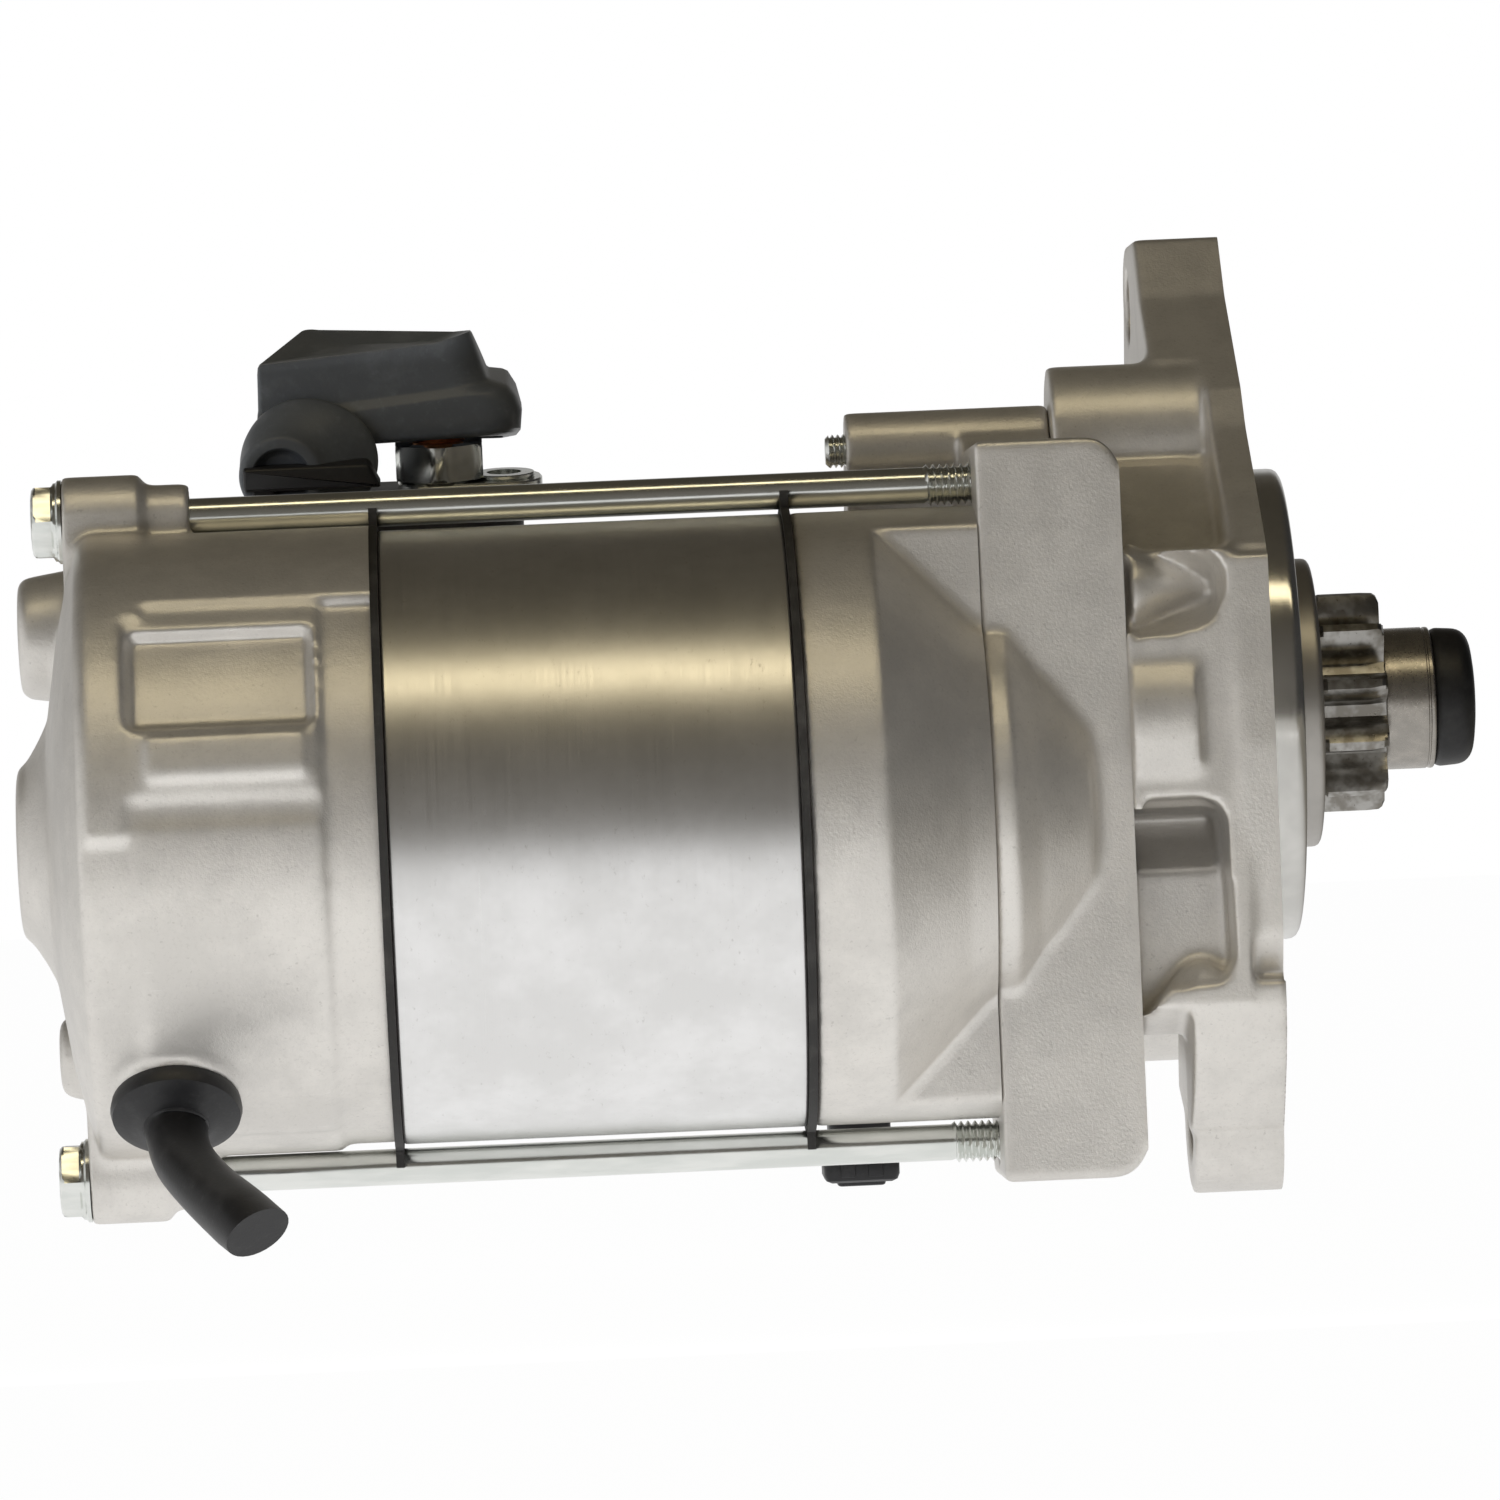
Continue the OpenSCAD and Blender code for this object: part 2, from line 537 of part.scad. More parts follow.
// Gear case and switch housing in one casting
screw_d = 5;
screw_r = case_r + case_wall + 4;
SCREWS = [[motor_y + 30, motor_z + block_rise + 0.8], (screw_r + 3) * [cos(249), sin(249)],
    screw_r * [cos(-30), sin(-30)]];
screw_tip_x = block_x - 19.5;
screw_boss_x = block_x - 16.6;
screw_boss_r = 5.5;
screw_pad_r = 11;
overlap_len = 7.2;
rear_wall = 4;
shoulder_x = block_x + rear_wall;
switch_r = switch_d / 2;
chamber_x1 = switch_x + 40;
cone_tip_r = 16.6;
cone_tip_x = block_x + 14.7;
wall_r = case_r + case_wall;
block_round = 5;
module block_corners() at_motor() for (up = [1, -1]) mirror([0, 0, up < 0 ? 1 : 0]) difference() {
    translate([housing_x - block_round, -block_half - 1, block_rise - block_round])
        cube([block_round + 1, 2 * block_half + 2, block_round + 1]);
    translate([housing_x - block_round, 0, block_rise - block_round]) rotate([90, 0, 0])
        cylinder(r = block_round, h = 2 * block_half + 4, center = true);
}
module at_screw(s) translate([0, s[0], s[1]]) children();
module at_screws() for (s = SCREWS) at_screw(s) children();
module gear_space(grow) {
    circle(r = case_r + grow);
    translate([idler_y, idler_z]) circle(r = idler_tip_r + 1.2 + grow);
    translate([motor_y, motor_z]) circle(r = armature_tip_r + 1.2 + grow);
    band([idler_y, idler_z], [motor_y, motor_z], armature_tip_r + grow);
}
module block_outline() {
    circle(r = wall_r);
    translate([motor_y - block_half, motor_z - block_rise])
        square([2 * block_half, 2 * block_rise]);
    polygon([[motor_y, motor_z + block_rise - 1], [0, wall_r], [0, -wall_r],
        [motor_y + block_half, motor_z - block_rise + 12]]);
    for (s = [SCREWS[1], SCREWS[2]]) translate(s) circle(r = screw_pad_r);
    polygon([[motor_y + block_half - 2, motor_z + block_rise - 2], SCREWS[0] + [-4, 2], SCREWS[0] + [4, 2],
        [-10, wall_r - 4], [motor_y + block_half, 10]]);
}
module terminal_frame() rotate([terminal_lean, 0, 0]) children();
module stem() translate([chamber_x1 - 35, -base_half + 2, plate_r + 1])
    cube([battery_x + stud_d / 2 + 1 - chamber_x1 + 35, 2 * base_half - 4, base_z - plate_r - 1]);
module motor_stud_place() translate([battery_x, 0, 0]) rotate([180, 0, 0]) children();
module cover_lugs(x0, x1) for (a = cover_angles) {
    round_off(a, switch_r + 1.5) rod(2 * lug_r, x0, x1);
}
module switch_housing() color(cast) difference() {
    union() {
        plate(block_x, housing_x) block_outline();
        rod(switch_d, switch_x, block_x + 1);
        at_motor() intersection() {
            turned([[block_x, 0], [block_x, cone_r], [block_x + 3, cone_r],
                [cone_tip_x, cone_tip_r], [cone_tip_x, 0]]);
            translate([block_x, -yoke_r, -yoke_r]) cube([block_len, yoke_r, yoke_d]);
        }
        at_screws() rod(2 * screw_boss_r, screw_boss_x, housing_x - overlap_len);
        for (s = SCREWS) plate(screw_boss_x, block_x) rotate(atan2(s[1], s[0]))
            translate([switch_r - 2, -screw_boss_r]) square([norm(s) - switch_r + 2, 2 * screw_boss_r]);
        cover_lugs(switch_x, switch_x + 8);
    }
    plate(shoulder_x, housing_x + 1) gear_space(0);
    rod(switch_d - 2 * switch_wall, switch_x - 1, sleeve_rear_x - 2);
    rod(sleeve_d + 5, sleeve_rear_x - 3, shoulder_x + 1);
    rod(sleeve_bearing_d, sleeve_rear_x, shoulder_x + 1);
    at_motor() rod(front_journal_d + 4, block_x - 1, shoulder_x + 1);
    at_idler() rod(idler_pin_d, block_x + 0.5, shoulder_x + 1);
    at_motor() for (up = [90, -90]) round_off(up, bolt_offset) rod(bolt_thread_d, block_x - 1, bolt_end_x);
    at_screws() rod(screw_d, screw_boss_x - 1, housing_x + 1);
    at_screw(SCREWS[0]) rod(2 * screw_pad_r, housing_x - overlap_len, housing_x + 1);
    terminal_frame() stem();
    motor_stud_place() translate([0, 0, plate_r]) cylinder(d = stud_d + 4, h = switch_r);
    for (a = cover_angles) round_off(a, switch_r + 1.5) rod(cover_screw_d, switch_x - 1, switch_x + 9);
    block_corners();
}

// Drive housing: mounting flange, pilot and nose
ear_hole_rim = 10.3;
flange_rim = pilot_d / 2 + 4.5;
near_edge = 18;
boss_depth = 12.5;
wall_near = 17;
wall_low = -29;
wall_high = 36.3;
idler_boss_r = 13;
idler_boss_x = -10.8;
scoop_r = 6.3;
scoop_x = -12.5;
pocket_x = -7.2;
pocket_round = 4;
pocket_depth = 8;
seal_rim = 1.3;
module side_pocket(z0, z1) translate([0, pocket_depth - wall_near, 0]) rotate([90, 0, 0])
    linear_extrude(pocket_depth + 5) {
        translate([housing_x + seal_rim, z0]) square([pocket_x - pocket_round - housing_x - seal_rim, z1 - z0]);
        translate([housing_x + seal_rim, z0 + pocket_round])
            square([pocket_x - housing_x - seal_rim, z1 - z0 - 2 * pocket_round]);
        for (z = [z0 + pocket_round, z1 - pocket_round]) translate([pocket_x - pocket_round, z])
            circle(r = pocket_round);
    }
module side_scoop() translate([0, 1 - wall_near, 31.2]) {
    rod(2 * scoop_r, housing_x - 1, scoop_x);
    translate([scoop_x, 0, 0]) sphere(r = scoop_r);
}
TOP_HOLE = [top_hole_y, top_hole_z];
LOW_HOLE = [low_hole_y, low_hole_z];
module at_hole(h) translate([0, h[0], h[1]]) children();
module flange_outline() difference() {
    polygon(concat(
        [[motor_y - near_edge, motor_z + 8], [motor_y - near_edge + 1, motor_z + 35], [motor_y, motor_z + 46],
            [motor_y + 13, motor_z + 54], [motor_y + 19, motor_z + 60], TOP_HOLE + [-26, 0],
            TOP_HOLE + [-17, ear_hole_rim - 1]],
        [for (a = [90:-15:0]) TOP_HOLE + (ear_hole_rim - 1) * [cos(a), sin(a)]],
        [for (a = [55:-10:-75]) flange_rim * [cos(a), sin(a)]],
        [for (a = [0:-15:-165]) LOW_HOLE + (ear_hole_rim + 0.5) * [cos(a), sin(a)]],
        [LOW_HOLE + [-ear_hole_rim - 1.5, 10], [motor_y - 5, motor_z - 38], [motor_y - 16, motor_z - 19]]));
}
module body_outline() {
    circle(r = wall_r);
    translate([idler_y, idler_z]) circle(r = idler_tip_r + 1.2 + case_wall);
    translate([motor_y, motor_z]) circle(r = armature_tip_r + 1.2 + case_wall);
    polygon([[motor_y + 4, motor_z + 19], [0, wall_r], [0, -wall_r], [motor_y + 10, motor_z - 20]]);
    translate([motor_y, motor_z]) polygon([[-wall_near, wall_low], [-wall_near, wall_high], [1, wall_high],
        SCREWS[0] - [motor_y, motor_z] + [-12.5, -4], SCREWS[0] - [motor_y, motor_z] + [0, -4],
        [45, 40], [10, wall_low - 4], [-4, wall_low - 4]]);
    for (s = [SCREWS[1], SCREWS[2]]) translate(s) circle(r = screw_pad_r);
}
module ear_pad(h, reach) plate(-ear_t, 0) intersection() {
    flange_outline();
    translate(h) circle(r = reach);
}
module drive_housing() color(cast) difference() {
    union() {
        plate(-flange_t, 0) flange_outline();
        ear_pad(TOP_HOLE, 43);
        ear_pad(LOW_HOLE, 21);
        plate(housing_x, -flange_t + 1) body_outline();
        turned([[-1, 0], [-1, pilot_d / 2], [pilot_len - 1, pilot_d / 2], [pilot_len, pilot_d / 2 - 1],
            [pilot_len, nose_d / 2], [pilot_len + nose_len - 0.8, nose_d / 2],
            [pilot_len + nose_len, nose_d / 2 - 0.8], [pilot_len + nose_len, 0]]);
        at_screw(SCREWS[0]) rod(2 * screw_pad_r, housing_x - overlap_len, 0);
        at_motor() translate([0, idler_boss_r - wall_near - 2.8, 12.2])
            rod(2 * idler_boss_r, housing_x, idler_boss_x);
    }
    at_motor() side_scoop();
    at_motor() side_pocket(-26, 0.7);
    rod(2 * case_r, housing_x - 1, -boss_depth + 3);
    at_idler() rod(idler_pin_d, housing_x - 1, -boss_depth + 3);
    rod(sleeve_bearing_d, -boss_depth, sleeve_front_x + bearing_w);
    rod(sleeve_d + 4, 0, pilot_len + 1);
    rod(seal_d, 0, pilot_len + nose_len - 1);
    rod(pinion_shaft_d + 4, 0, pilot_len + nose_len + 1);
    for (h = [TOP_HOLE, LOW_HOLE]) at_hole(h) rod(mount_hole_d, -ear_t - 1, 1);
    at_screws() {
        rod(screw_d + screw_gap, housing_x - overlap_len - 1, 1);
        rod(screw_head_d + 1, -screw_head_len - 1, 1);
    }
    at_dowel() rod(dowel_d, -5, 1);
}
screw_head_d = 8.5;
screw_head_len = 5;
module housing_screws() color(zinc) at_screws() difference() {
    union() {
        rod(screw_d, screw_tip_x, -screw_head_len - 0.5);
        rod(screw_head_d, -screw_head_len - 1, -1);
    }
    hex_prism(4, -3.5, 0);
}
dowel_d = 3.6;
dowel_y = 13;
dowel_z = pilot_d / 2 + 1.3;
module at_dowel() translate([0, dowel_y, dowel_z]) children();
module dowel_pin() color(steel) at_dowel() turned([[-5, 0], [-5, dowel_d / 2], [5, dowel_d / 2],
    [5.6, dowel_d / 2 - 0.6], [5.6, 0]]);

// Idler gear on needle rollers
needle_ring = idler_pin_d / 2 + needle_d / 2 + run_fit;
needle_count = floor(180 / asin(needle_d / 2 / needle_ring) * 0.75);
idler_bore = 2 * (needle_ring + needle_d / 2);
module idler_pin() color(steel) at_idler() rod(idler_pin_d, block_x + 0.5, -boss_depth + 3);
module idler_rollers() color(dark_steel) at_idler() for (k = [0:needle_count - 1])
    round_off(360 * k / needle_count, needle_ring) rod(needle_d, gear_x0 + 0.8, gear_x1 - 0.8);
module idler_gear() color(dark_steel) at_idler() difference() {
    plate(gear_x0, gear_x1) gear_outline(idler_teeth, gear_module, stub, root_depth, idler_turn);
    rod(idler_bore, gear_x0 - 1, gear_x1 + 1);
}

// Overrunning clutch
race_r = sleeve_d / 2 + 2;
roller_r = 3;
roller_ring = race_r + roller_r + run_fit;
roller_count = 5;
cover_t = 1.2;
clutch_rim_r = roller_ring + roller_r + 3.5;
module clutch_pockets() {
    circle(r = race_r + pass_gap);
    for (k = [0:roller_count - 1]) for (shift = [0, 8]) rotate(360 * k / roller_count + shift)
        translate([roller_ring, 0]) circle(r = roller_r + 0.02 + shift * 0.04);
}
module clutch_gear() color(dark_steel) difference() {
    plate(gear_x0, gear_x1 - cover_t)
        gear_outline(clutch_teeth, gear_module, stub, root_depth, clutch_turn);
    plate(gear_x0 + 1.5, gear_x1) clutch_pockets();
    rod(2 * (race_r + pass_gap), gear_x0 - 1, gear_x1);
}
module clutch_rollers() color(steel) for (k = [0:roller_count - 1])
    round_off(360 * k / roller_count, roller_ring) rod(2 * roller_r, gear_x0 + 1.6, gear_x1 - cover_t - 0.1);
module clutch_cover() color(zinc)
    tube(2 * clutch_rim_r, 2 * (race_r + pass_gap), gear_x1 - cover_t, gear_x1);

// Drive sleeve, pinion shaft and pinion
sleeve_x0 = sleeve_rear_x - 0.5;
sleeve_x1 = sleeve_front_x + bearing_w;
spline_r = pinion_shaft_d / 2 + 1;
spline_depth = 1.1;
spline_count = 8;
spline_x0 = -17;
spline_x1 = -7;
spline_fit = 0.12;
bush_len = 7;
spline_end = sleeve_x1 - bush_len - travel - 0.5;
chamber_r = sleeve_d / 2 - 1.8;
flange_x = sleeve_x0 + 3;
flange_w = 3;
spring_wire_d = 1.5;
ball_d = 8;
module spline_outline(grow) {
    circle(r = spline_r - spline_depth + grow);
    for (k = [0:spline_count - 1]) rotate(360 * k / spline_count)
        translate([0, -1.2 - grow]) square([spline_r + grow, 2.4 + 2 * grow]);
}
module drive_sleeve() color(steel) difference() {
    union() {
        rod(sleeve_d, sleeve_x0, sleeve_x1);
        rod(2 * race_r, gear_x0 - 0.5, gear_x1 + 0.5);
    }
    rod(2 * chamber_r, sleeve_x0 - 1, spline_x0);
    plate(spline_x0 - 1, spline_x1) spline_outline(spline_fit);
    rod(2 * (spline_r + spline_fit + 0.3), spline_x1, sleeve_x1 - bush_len);
    rod(pinion_shaft_d + 3, sleeve_x1 - bush_len - 1, sleeve_x1 + 1);
}
module sleeve_bush() color(bronze)
    tube(pinion_shaft_d + 3, pinion_shaft_d + 2 * run_fit, sleeve_x1 - bush_len, sleeve_x1);
pinion_x0 = pilot_len + nose_len + 0.3;
pinion_x1 = pinion_x0 + pinion_len;
collar_x1 = pinion_x1 + collar_len;
cap_x1 = collar_x1 + cap_len;
module pinion_shaft() color(steel) difference() {
    union() {
        rod(2 * (chamber_r - pass_gap), flange_x, flange_x + flange_w);
        rod(2 * (spline_r - spline_depth), flange_x, spline_x0 - travel);
        plate(spline_x0 - travel, spline_end) spline_outline(0);
        rod(pinion_shaft_d, spline_end - 1, cap_x1 - 2);
    }
    rod(ball_d, flange_x - 1, flange_x + ball_d / 2);
    translate([flange_x + ball_d / 2, 0, 0]) sphere(d = ball_d);
}
module steel_ball() color(steel) translate([flange_x + ball_d / 2, 0, 0]) sphere(d = ball_d);
module return_spring() color(steel) coil_spring(chamber_r - pass_gap - spring_wire_d / 2 - 0.2,
    spring_wire_d, flange_x + flange_w, spline_x0, 5, 18, 8);
module pinion() color(dark_steel) difference() {
    plate(pinion_x0, pinion_x1) gear_outline(pinion_teeth, pinion_module, 1.05, 1.1, 90 / pinion_teeth);
    rod(pinion_shaft_d, pinion_x0 - 1, pinion_x1 + 1);
    difference() {
        rod(pinion_module * pinion_teeth + 10, pinion_x1 - 1.5, pinion_x1 + 1);
        turned([[pinion_x1 - 2, 0], [pinion_x1 - 2, pinion_module * (pinion_teeth / 2 + 1.05) + 0.5],
            [pinion_x1, pinion_module * (pinion_teeth / 2 + 1.05) - 1.4], [pinion_x1, 0]]);
    }
}
module pinion_collar() color(steel) tube(collar_d, pinion_shaft_d, pinion_x1, collar_x1);
module shaft_end_cap() color(rubber) difference() {
    turned([[collar_x1, 0], [collar_x1, collar_d / 2 - 0.2], [cap_x1 - 1, collar_d / 2 - 0.5],
        [cap_x1, collar_d / 2 - 1.5], [cap_x1, 0]]);
    rod(pinion_shaft_d, collar_x1 - 1, cap_x1 - 2);
}
seal_d = sleeve_d + 2;
module nose_seal() color(rubber) difference() {
    rod(seal_d, pilot_len + 0.2, pilot_len + nose_len - 1);
    rod(pinion_shaft_d + 2 * pass_gap, pilot_len - 1, pilot_len + nose_len);
    turned([[pilot_len, 0], [pilot_len, seal_d / 2 - 1.5], [pilot_len + 1.6, pinion_shaft_d / 2 + 1.5],
        [pilot_len + 1.6, 0]]);
}

// Magnetic switch
tube_r = switch_r - switch_wall;
stop_x1 = sleeve_rear_x - 2.2;
stop_w = 9;
stop_x0 = stop_x1 - stop_w;
core_nose = 7.5;
coil_x0 = chamber_x1 + 4;
guide_r = plunger_d / 2 + pass_gap;
plunger_x1 = stop_x0 - core_nose - travel - 0.5;
plunger_x0 = chamber_x1 - 8;
plate_r = 15;
plate_t = 2;
plate_x = chamber_x1 - 23.5;
contact_x = plate_x + plate_t + travel + 0.3;
rod_tip_x = flange_x - 0.3;
spool_t = 1;
module fixed_core() color(steel) difference() {
    union() {
        rod(2 * tube_r, stop_x0, stop_x1);
        rod(2 * guide_r - 1, stop_x0 - core_nose, stop_x0);
    }
    rod(rod_d + 2 * pass_gap, stop_x0 - core_nose - 1, stop_x1 + 1);
}
module coil_end_plate() color(steel) tube(2 * tube_r, 2 * (guide_r + 0.5), chamber_x1, coil_x0);
module plunger_guide() color(bronze) tube(2 * (guide_r + 0.5), 2 * guide_r, chamber_x1 - 1, stop_x0);
module coil_bobbin() color(plastic) {
    tube(2 * (guide_r + 0.5 + spool_t), 2 * (guide_r + 0.5), coil_x0 + spool_t, stop_x0 - spool_t);
    for (x = [coil_x0, stop_x0 - spool_t]) tube(2 * tube_r - 0.6, 2 * (guide_r + 0.5), x, x + spool_t);
}
module switch_coil() color(copper)
    tube(2 * tube_r - 2.4, 2 * (guide_r + 0.5 + spool_t), coil_x0 + spool_t, stop_x0 - spool_t);
plunger_spring_wire = 1.2;
plunger_pocket = 8;
module plunger() color(steel) difference() {
    union() {
        rod(plunger_d, plunger_x0, plunger_x1);
        rod(rod_d, plate_x - 4, rod_tip_x);
    }
    tube(plunger_d - 5, rod_d, plunger_x1 - plunger_pocket, plunger_x1 + 1);
}
module plunger_spring() color(steel) coil_spring(rod_d / 2 + pass_gap + plunger_spring_wire / 2 + 0.4,
    plunger_spring_wire, plunger_x1 - plunger_pocket, stop_x0 - core_nose, 6, 12, 6);
module contact_plate() color(copper) tube(2 * plate_r, rod_d, plate_x, plate_x + plate_t);

// Terminals
base_half = 11;
base_z = switch_r + 6;
base_top = 38.2;
contact_w = 7;
contact_in = plunger_d / 2 + 1;
contact_h = plate_r + 1 - contact_in;
stud_in = 4;
battery_top = 56;
nut_af = 13;
nut_h = 6;
lug_t = 1.5;
base_x0 = chamber_x1 - 37;
base_x1 = chamber_x1 + 5.1;
battery_x = contact_x + 4;
module contact_block() translate([contact_x, -6, contact_in]) cube([contact_w, 12, contact_h]);
module battery_stud() color(copper) terminal_frame() {
    contact_block();
    translate([battery_x, 0, contact_in + 2]) cylinder(d = stud_d, h = battery_top - contact_in - 2);
}
// The motor stud stands straight down out of an insulating collar
collar_top = switch_r + 2;
module motor_stud() color(copper) motor_stud_place() {
    translate([contact_x - battery_x, -6, contact_in]) cube([contact_w, 12, contact_h]);
    translate([0, 0, contact_in + 2]) cylinder(d = stud_d, h = collar_top + lug_t + nut_h + 3 - contact_in - 2);
    color(plastic) translate([0, 0, plate_r + 3])
        cylinder(d = stud_d + 4, h = collar_top - plate_r - 3);
}
ring_len = 9;
ring_r = 6.3;
module terminal_nuts() color(zinc) {
    terminal_frame() translate([battery_x, 0, base_top]) {
        difference() {
            linear_extrude(lug_t) {
                band([0, 0], [ring_len, 0], ring_r);
                for (x = [0, ring_len]) translate([x, 0]) circle(r = ring_r);
            }
            cylinder(d = stud_d, h = 3 * lug_t, center = true);
        }
        difference() {
            translate([0, 0, lug_t]) cylinder(d = nut_af / cos(30), h = nut_h, $fn = 6);
            cylinder(d = stud_d, h = 30, center = true);
        }
    }
    motor_stud_place() translate([0, 0, collar_top + lug_t]) difference() {
        cylinder(d = nut_af / cos(30), h = nut_h, $fn = 6);
        cylinder(d = stud_d, h = 30, center = true);
    }
}
module terminal_base() color(plastic) terminal_frame() difference() {
    union() {
        stem();
        translate([0, 0, base_z]) linear_extrude(base_top - base_z) {
            band([base_x0 + base_half, 0], [base_x1 - base_half, 0], base_half);
            for (x = [base_x0 + base_half, base_x1 - base_half]) translate([x, 0]) circle(r = base_half);
        }
    }
    translate([battery_x, 0, 0]) cylinder(d = stud_d, h = 60);
    contact_block();
}
module switch_terminal() color(plastic) terminal_frame() {
    translate([base_x0 + 1.3, -switch_boot_reach + 4, base_top])
        cube([19, switch_boot_reach - 4 - boot_near, 5]);
}
module switch_boot() color(rubber) terminal_frame() translate([base_x0 + 9.5, 0, base_top + 5])
    rotate([90, 0, 0]) difference() {
        translate([0, 0, boot_near + pass_gap]) linear_extrude(switch_boot_reach - boot_near) union() {
            circle(r = switch_boot_r);
            square([10.5, 7.5]);
        }
        translate([-15, -15, -1]) cube([30, 15, switch_boot_reach + 9]);
        translate([-0.5, 0, switch_boot_reach - 2]) cylinder(r = switch_boot_r / 2, h = 5);
    }
// The battery boot is a hollow hood, open underneath
BOOT_SIDE = [[0, 8], [0, 17.7], [8.1, 25], [21.6, 23.5], [32.8, 23.2], [34.9, 15.8], [37.6, 15.8],
    [39.6, 10.7], [38.8, 5], [17, 8]];
BOOT_HOLLOW = [[2, 4], [2, 17], [9, 22.6], [21.6, 21.2], [31, 21], [33, 13.6], [36, 13.5], [37.3, 10.7],
    [36.6, 4]];
boot_near = 8.5;
boot_far = 14.5;
boot_wall = 2;
switch_boot_r = 9.2;
switch_boot_reach = 21;
module hood(side, near, far) translate([base_x0 + 3, far, base_top]) rotate([90, 0, 0])
    linear_extrude(near + far) polygon(side);
module battery_boot() color(grey_rubber) terminal_frame() difference() {
    hood(BOOT_SIDE, boot_near, boot_far);
    hood(BOOT_HOLLOW, boot_near - boot_wall, boot_far - boot_wall);
}
lead_r = lead_d / 2 - 0.2;
lead_z = -collar_top - lug_t / 2;
function lead_hole(r) = [lead_x, motor_y + r * cos(lead_angle), motor_z + r * sin(lead_angle)];
LEAD_PATH = concat([for (p = [[0, -stud_d / 2 - 2, 0], [0, -stud_d / 2 - 5, 0], [-2, -13, -2],
    [-6, -17, -5], [-12, -22, -9], [-18, -26, -13]])
    [battery_x, 0, lead_z] + p], [for (r = [51, 48, 45, 42]) lead_hole(r)]);
module motor_lead() color(plastic) {
    sweep(LEAD_PATH, [for (k = [0:len(LEAD_PATH) - 1]) k < 2 ? lug_t / 2 : lead_r], 10);
    translate([battery_x, 0, lead_z]) difference() {
        cylinder(d = stud_d + 6, h = lug_t, center = true);
        cylinder(d = stud_d, h = 2 * lug_t, center = true);
    }
}

// Rear cover of the switch
cover_angles = [40, -40, -100];
lug_r = 4;
cover_screw_d = 4;
cover_len = 7;
module switch_cover() color(zinc) difference() {
    union() {
        turned([[switch_x, 0], [switch_x, switch_r], [switch_x - cover_len + 2, switch_r],
            [switch_x - cover_len, switch_r - 2], [switch_x - cover_len, 0]]);
        cover_lugs(switch_x - 3, switch_x);
    }
    rod(2 * tube_r, switch_x - cover_len + 2.5, switch_x + 1);
    for (a = cover_angles) round_off(a, switch_r + 1.5) {
        rod(cover_screw_d + screw_gap, switch_x - 9, switch_x + 1);
        rod(8, switch_x - 9, switch_x - 3);
    }
}
module cover_screws() color(zinc) for (a = cover_angles) round_off(a, switch_r + 1.5) {
    rod(cover_screw_d, switch_x - 3, switch_x + 8);
    hex_prism(6.4, switch_x - 6, switch_x - 3);
}

commutator_end_frame();
yoke_gaskets();
yoke();
pole_shoes();
field_coils();
front_frame();
armature_shaft();
armature_core();
armature_winding();
commutator();
armature_bearing_races();
ball_bearings();
brush_holder();
brush_1();
brush_2();
brush_3();
brush_4();
brush_springs();
through_bolts();
drain_tube();
drain_plug();
switch_housing();
drive_housing();
idler_pin();
idler_rollers();
idler_gear();
clutch_gear();
clutch_rollers();
clutch_cover();
drive_sleeve();
sleeve_bush();
sleeve_bearing_races();
pinion_shaft();
pinion();
pinion_collar();
shaft_end_cap();
return_spring();
steel_ball();
nose_seal();
switch_coil();
coil_bobbin();
fixed_core();
plunger_guide();
coil_end_plate();
plunger();
contact_plate();
plunger_spring();
terminal_base();
battery_stud();
motor_stud();
terminal_nuts();
motor_lead();
switch_terminal();
switch_boot();
battery_boot();
switch_cover();
cover_screws();
housing_screws();
dowel_pin();
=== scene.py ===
"""Looks of the starter motor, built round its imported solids.

The scene is in metres. X runs along the pinion axis towards the engine and Z points up. Shapes are written in
millimetres and scaled as their meshes are made.
"""
import json
import math

import bmesh
import bpy
import numpy as np
from mathutils import Matrix, Vector


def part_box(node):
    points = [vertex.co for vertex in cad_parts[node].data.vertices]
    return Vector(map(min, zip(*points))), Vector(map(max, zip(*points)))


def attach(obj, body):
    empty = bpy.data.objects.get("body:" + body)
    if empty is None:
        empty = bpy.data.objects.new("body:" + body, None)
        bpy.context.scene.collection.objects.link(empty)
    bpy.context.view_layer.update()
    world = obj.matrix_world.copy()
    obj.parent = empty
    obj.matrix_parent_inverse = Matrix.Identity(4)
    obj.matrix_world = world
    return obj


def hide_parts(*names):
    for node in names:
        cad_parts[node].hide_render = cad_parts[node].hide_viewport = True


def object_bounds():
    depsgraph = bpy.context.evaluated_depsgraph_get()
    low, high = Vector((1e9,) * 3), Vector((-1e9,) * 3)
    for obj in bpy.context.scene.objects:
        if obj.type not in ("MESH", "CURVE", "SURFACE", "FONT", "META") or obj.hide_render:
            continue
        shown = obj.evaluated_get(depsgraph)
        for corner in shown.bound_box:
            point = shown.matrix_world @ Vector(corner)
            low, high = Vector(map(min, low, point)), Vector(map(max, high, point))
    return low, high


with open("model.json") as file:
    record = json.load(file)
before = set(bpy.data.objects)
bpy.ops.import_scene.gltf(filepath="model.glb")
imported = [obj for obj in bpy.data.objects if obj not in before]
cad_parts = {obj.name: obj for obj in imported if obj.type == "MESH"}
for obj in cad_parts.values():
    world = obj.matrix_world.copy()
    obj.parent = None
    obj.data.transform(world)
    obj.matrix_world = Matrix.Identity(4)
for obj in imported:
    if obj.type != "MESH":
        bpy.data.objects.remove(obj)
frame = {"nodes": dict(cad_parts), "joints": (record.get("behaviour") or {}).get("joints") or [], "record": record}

MM = 0.001
cad_box = [list(corner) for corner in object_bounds()]
nodes = frame["nodes"]
record = frame["record"]
slot_of = {part["node"]: part["material_slot"] for part in record["subparts"]}
scene = bpy.context.scene

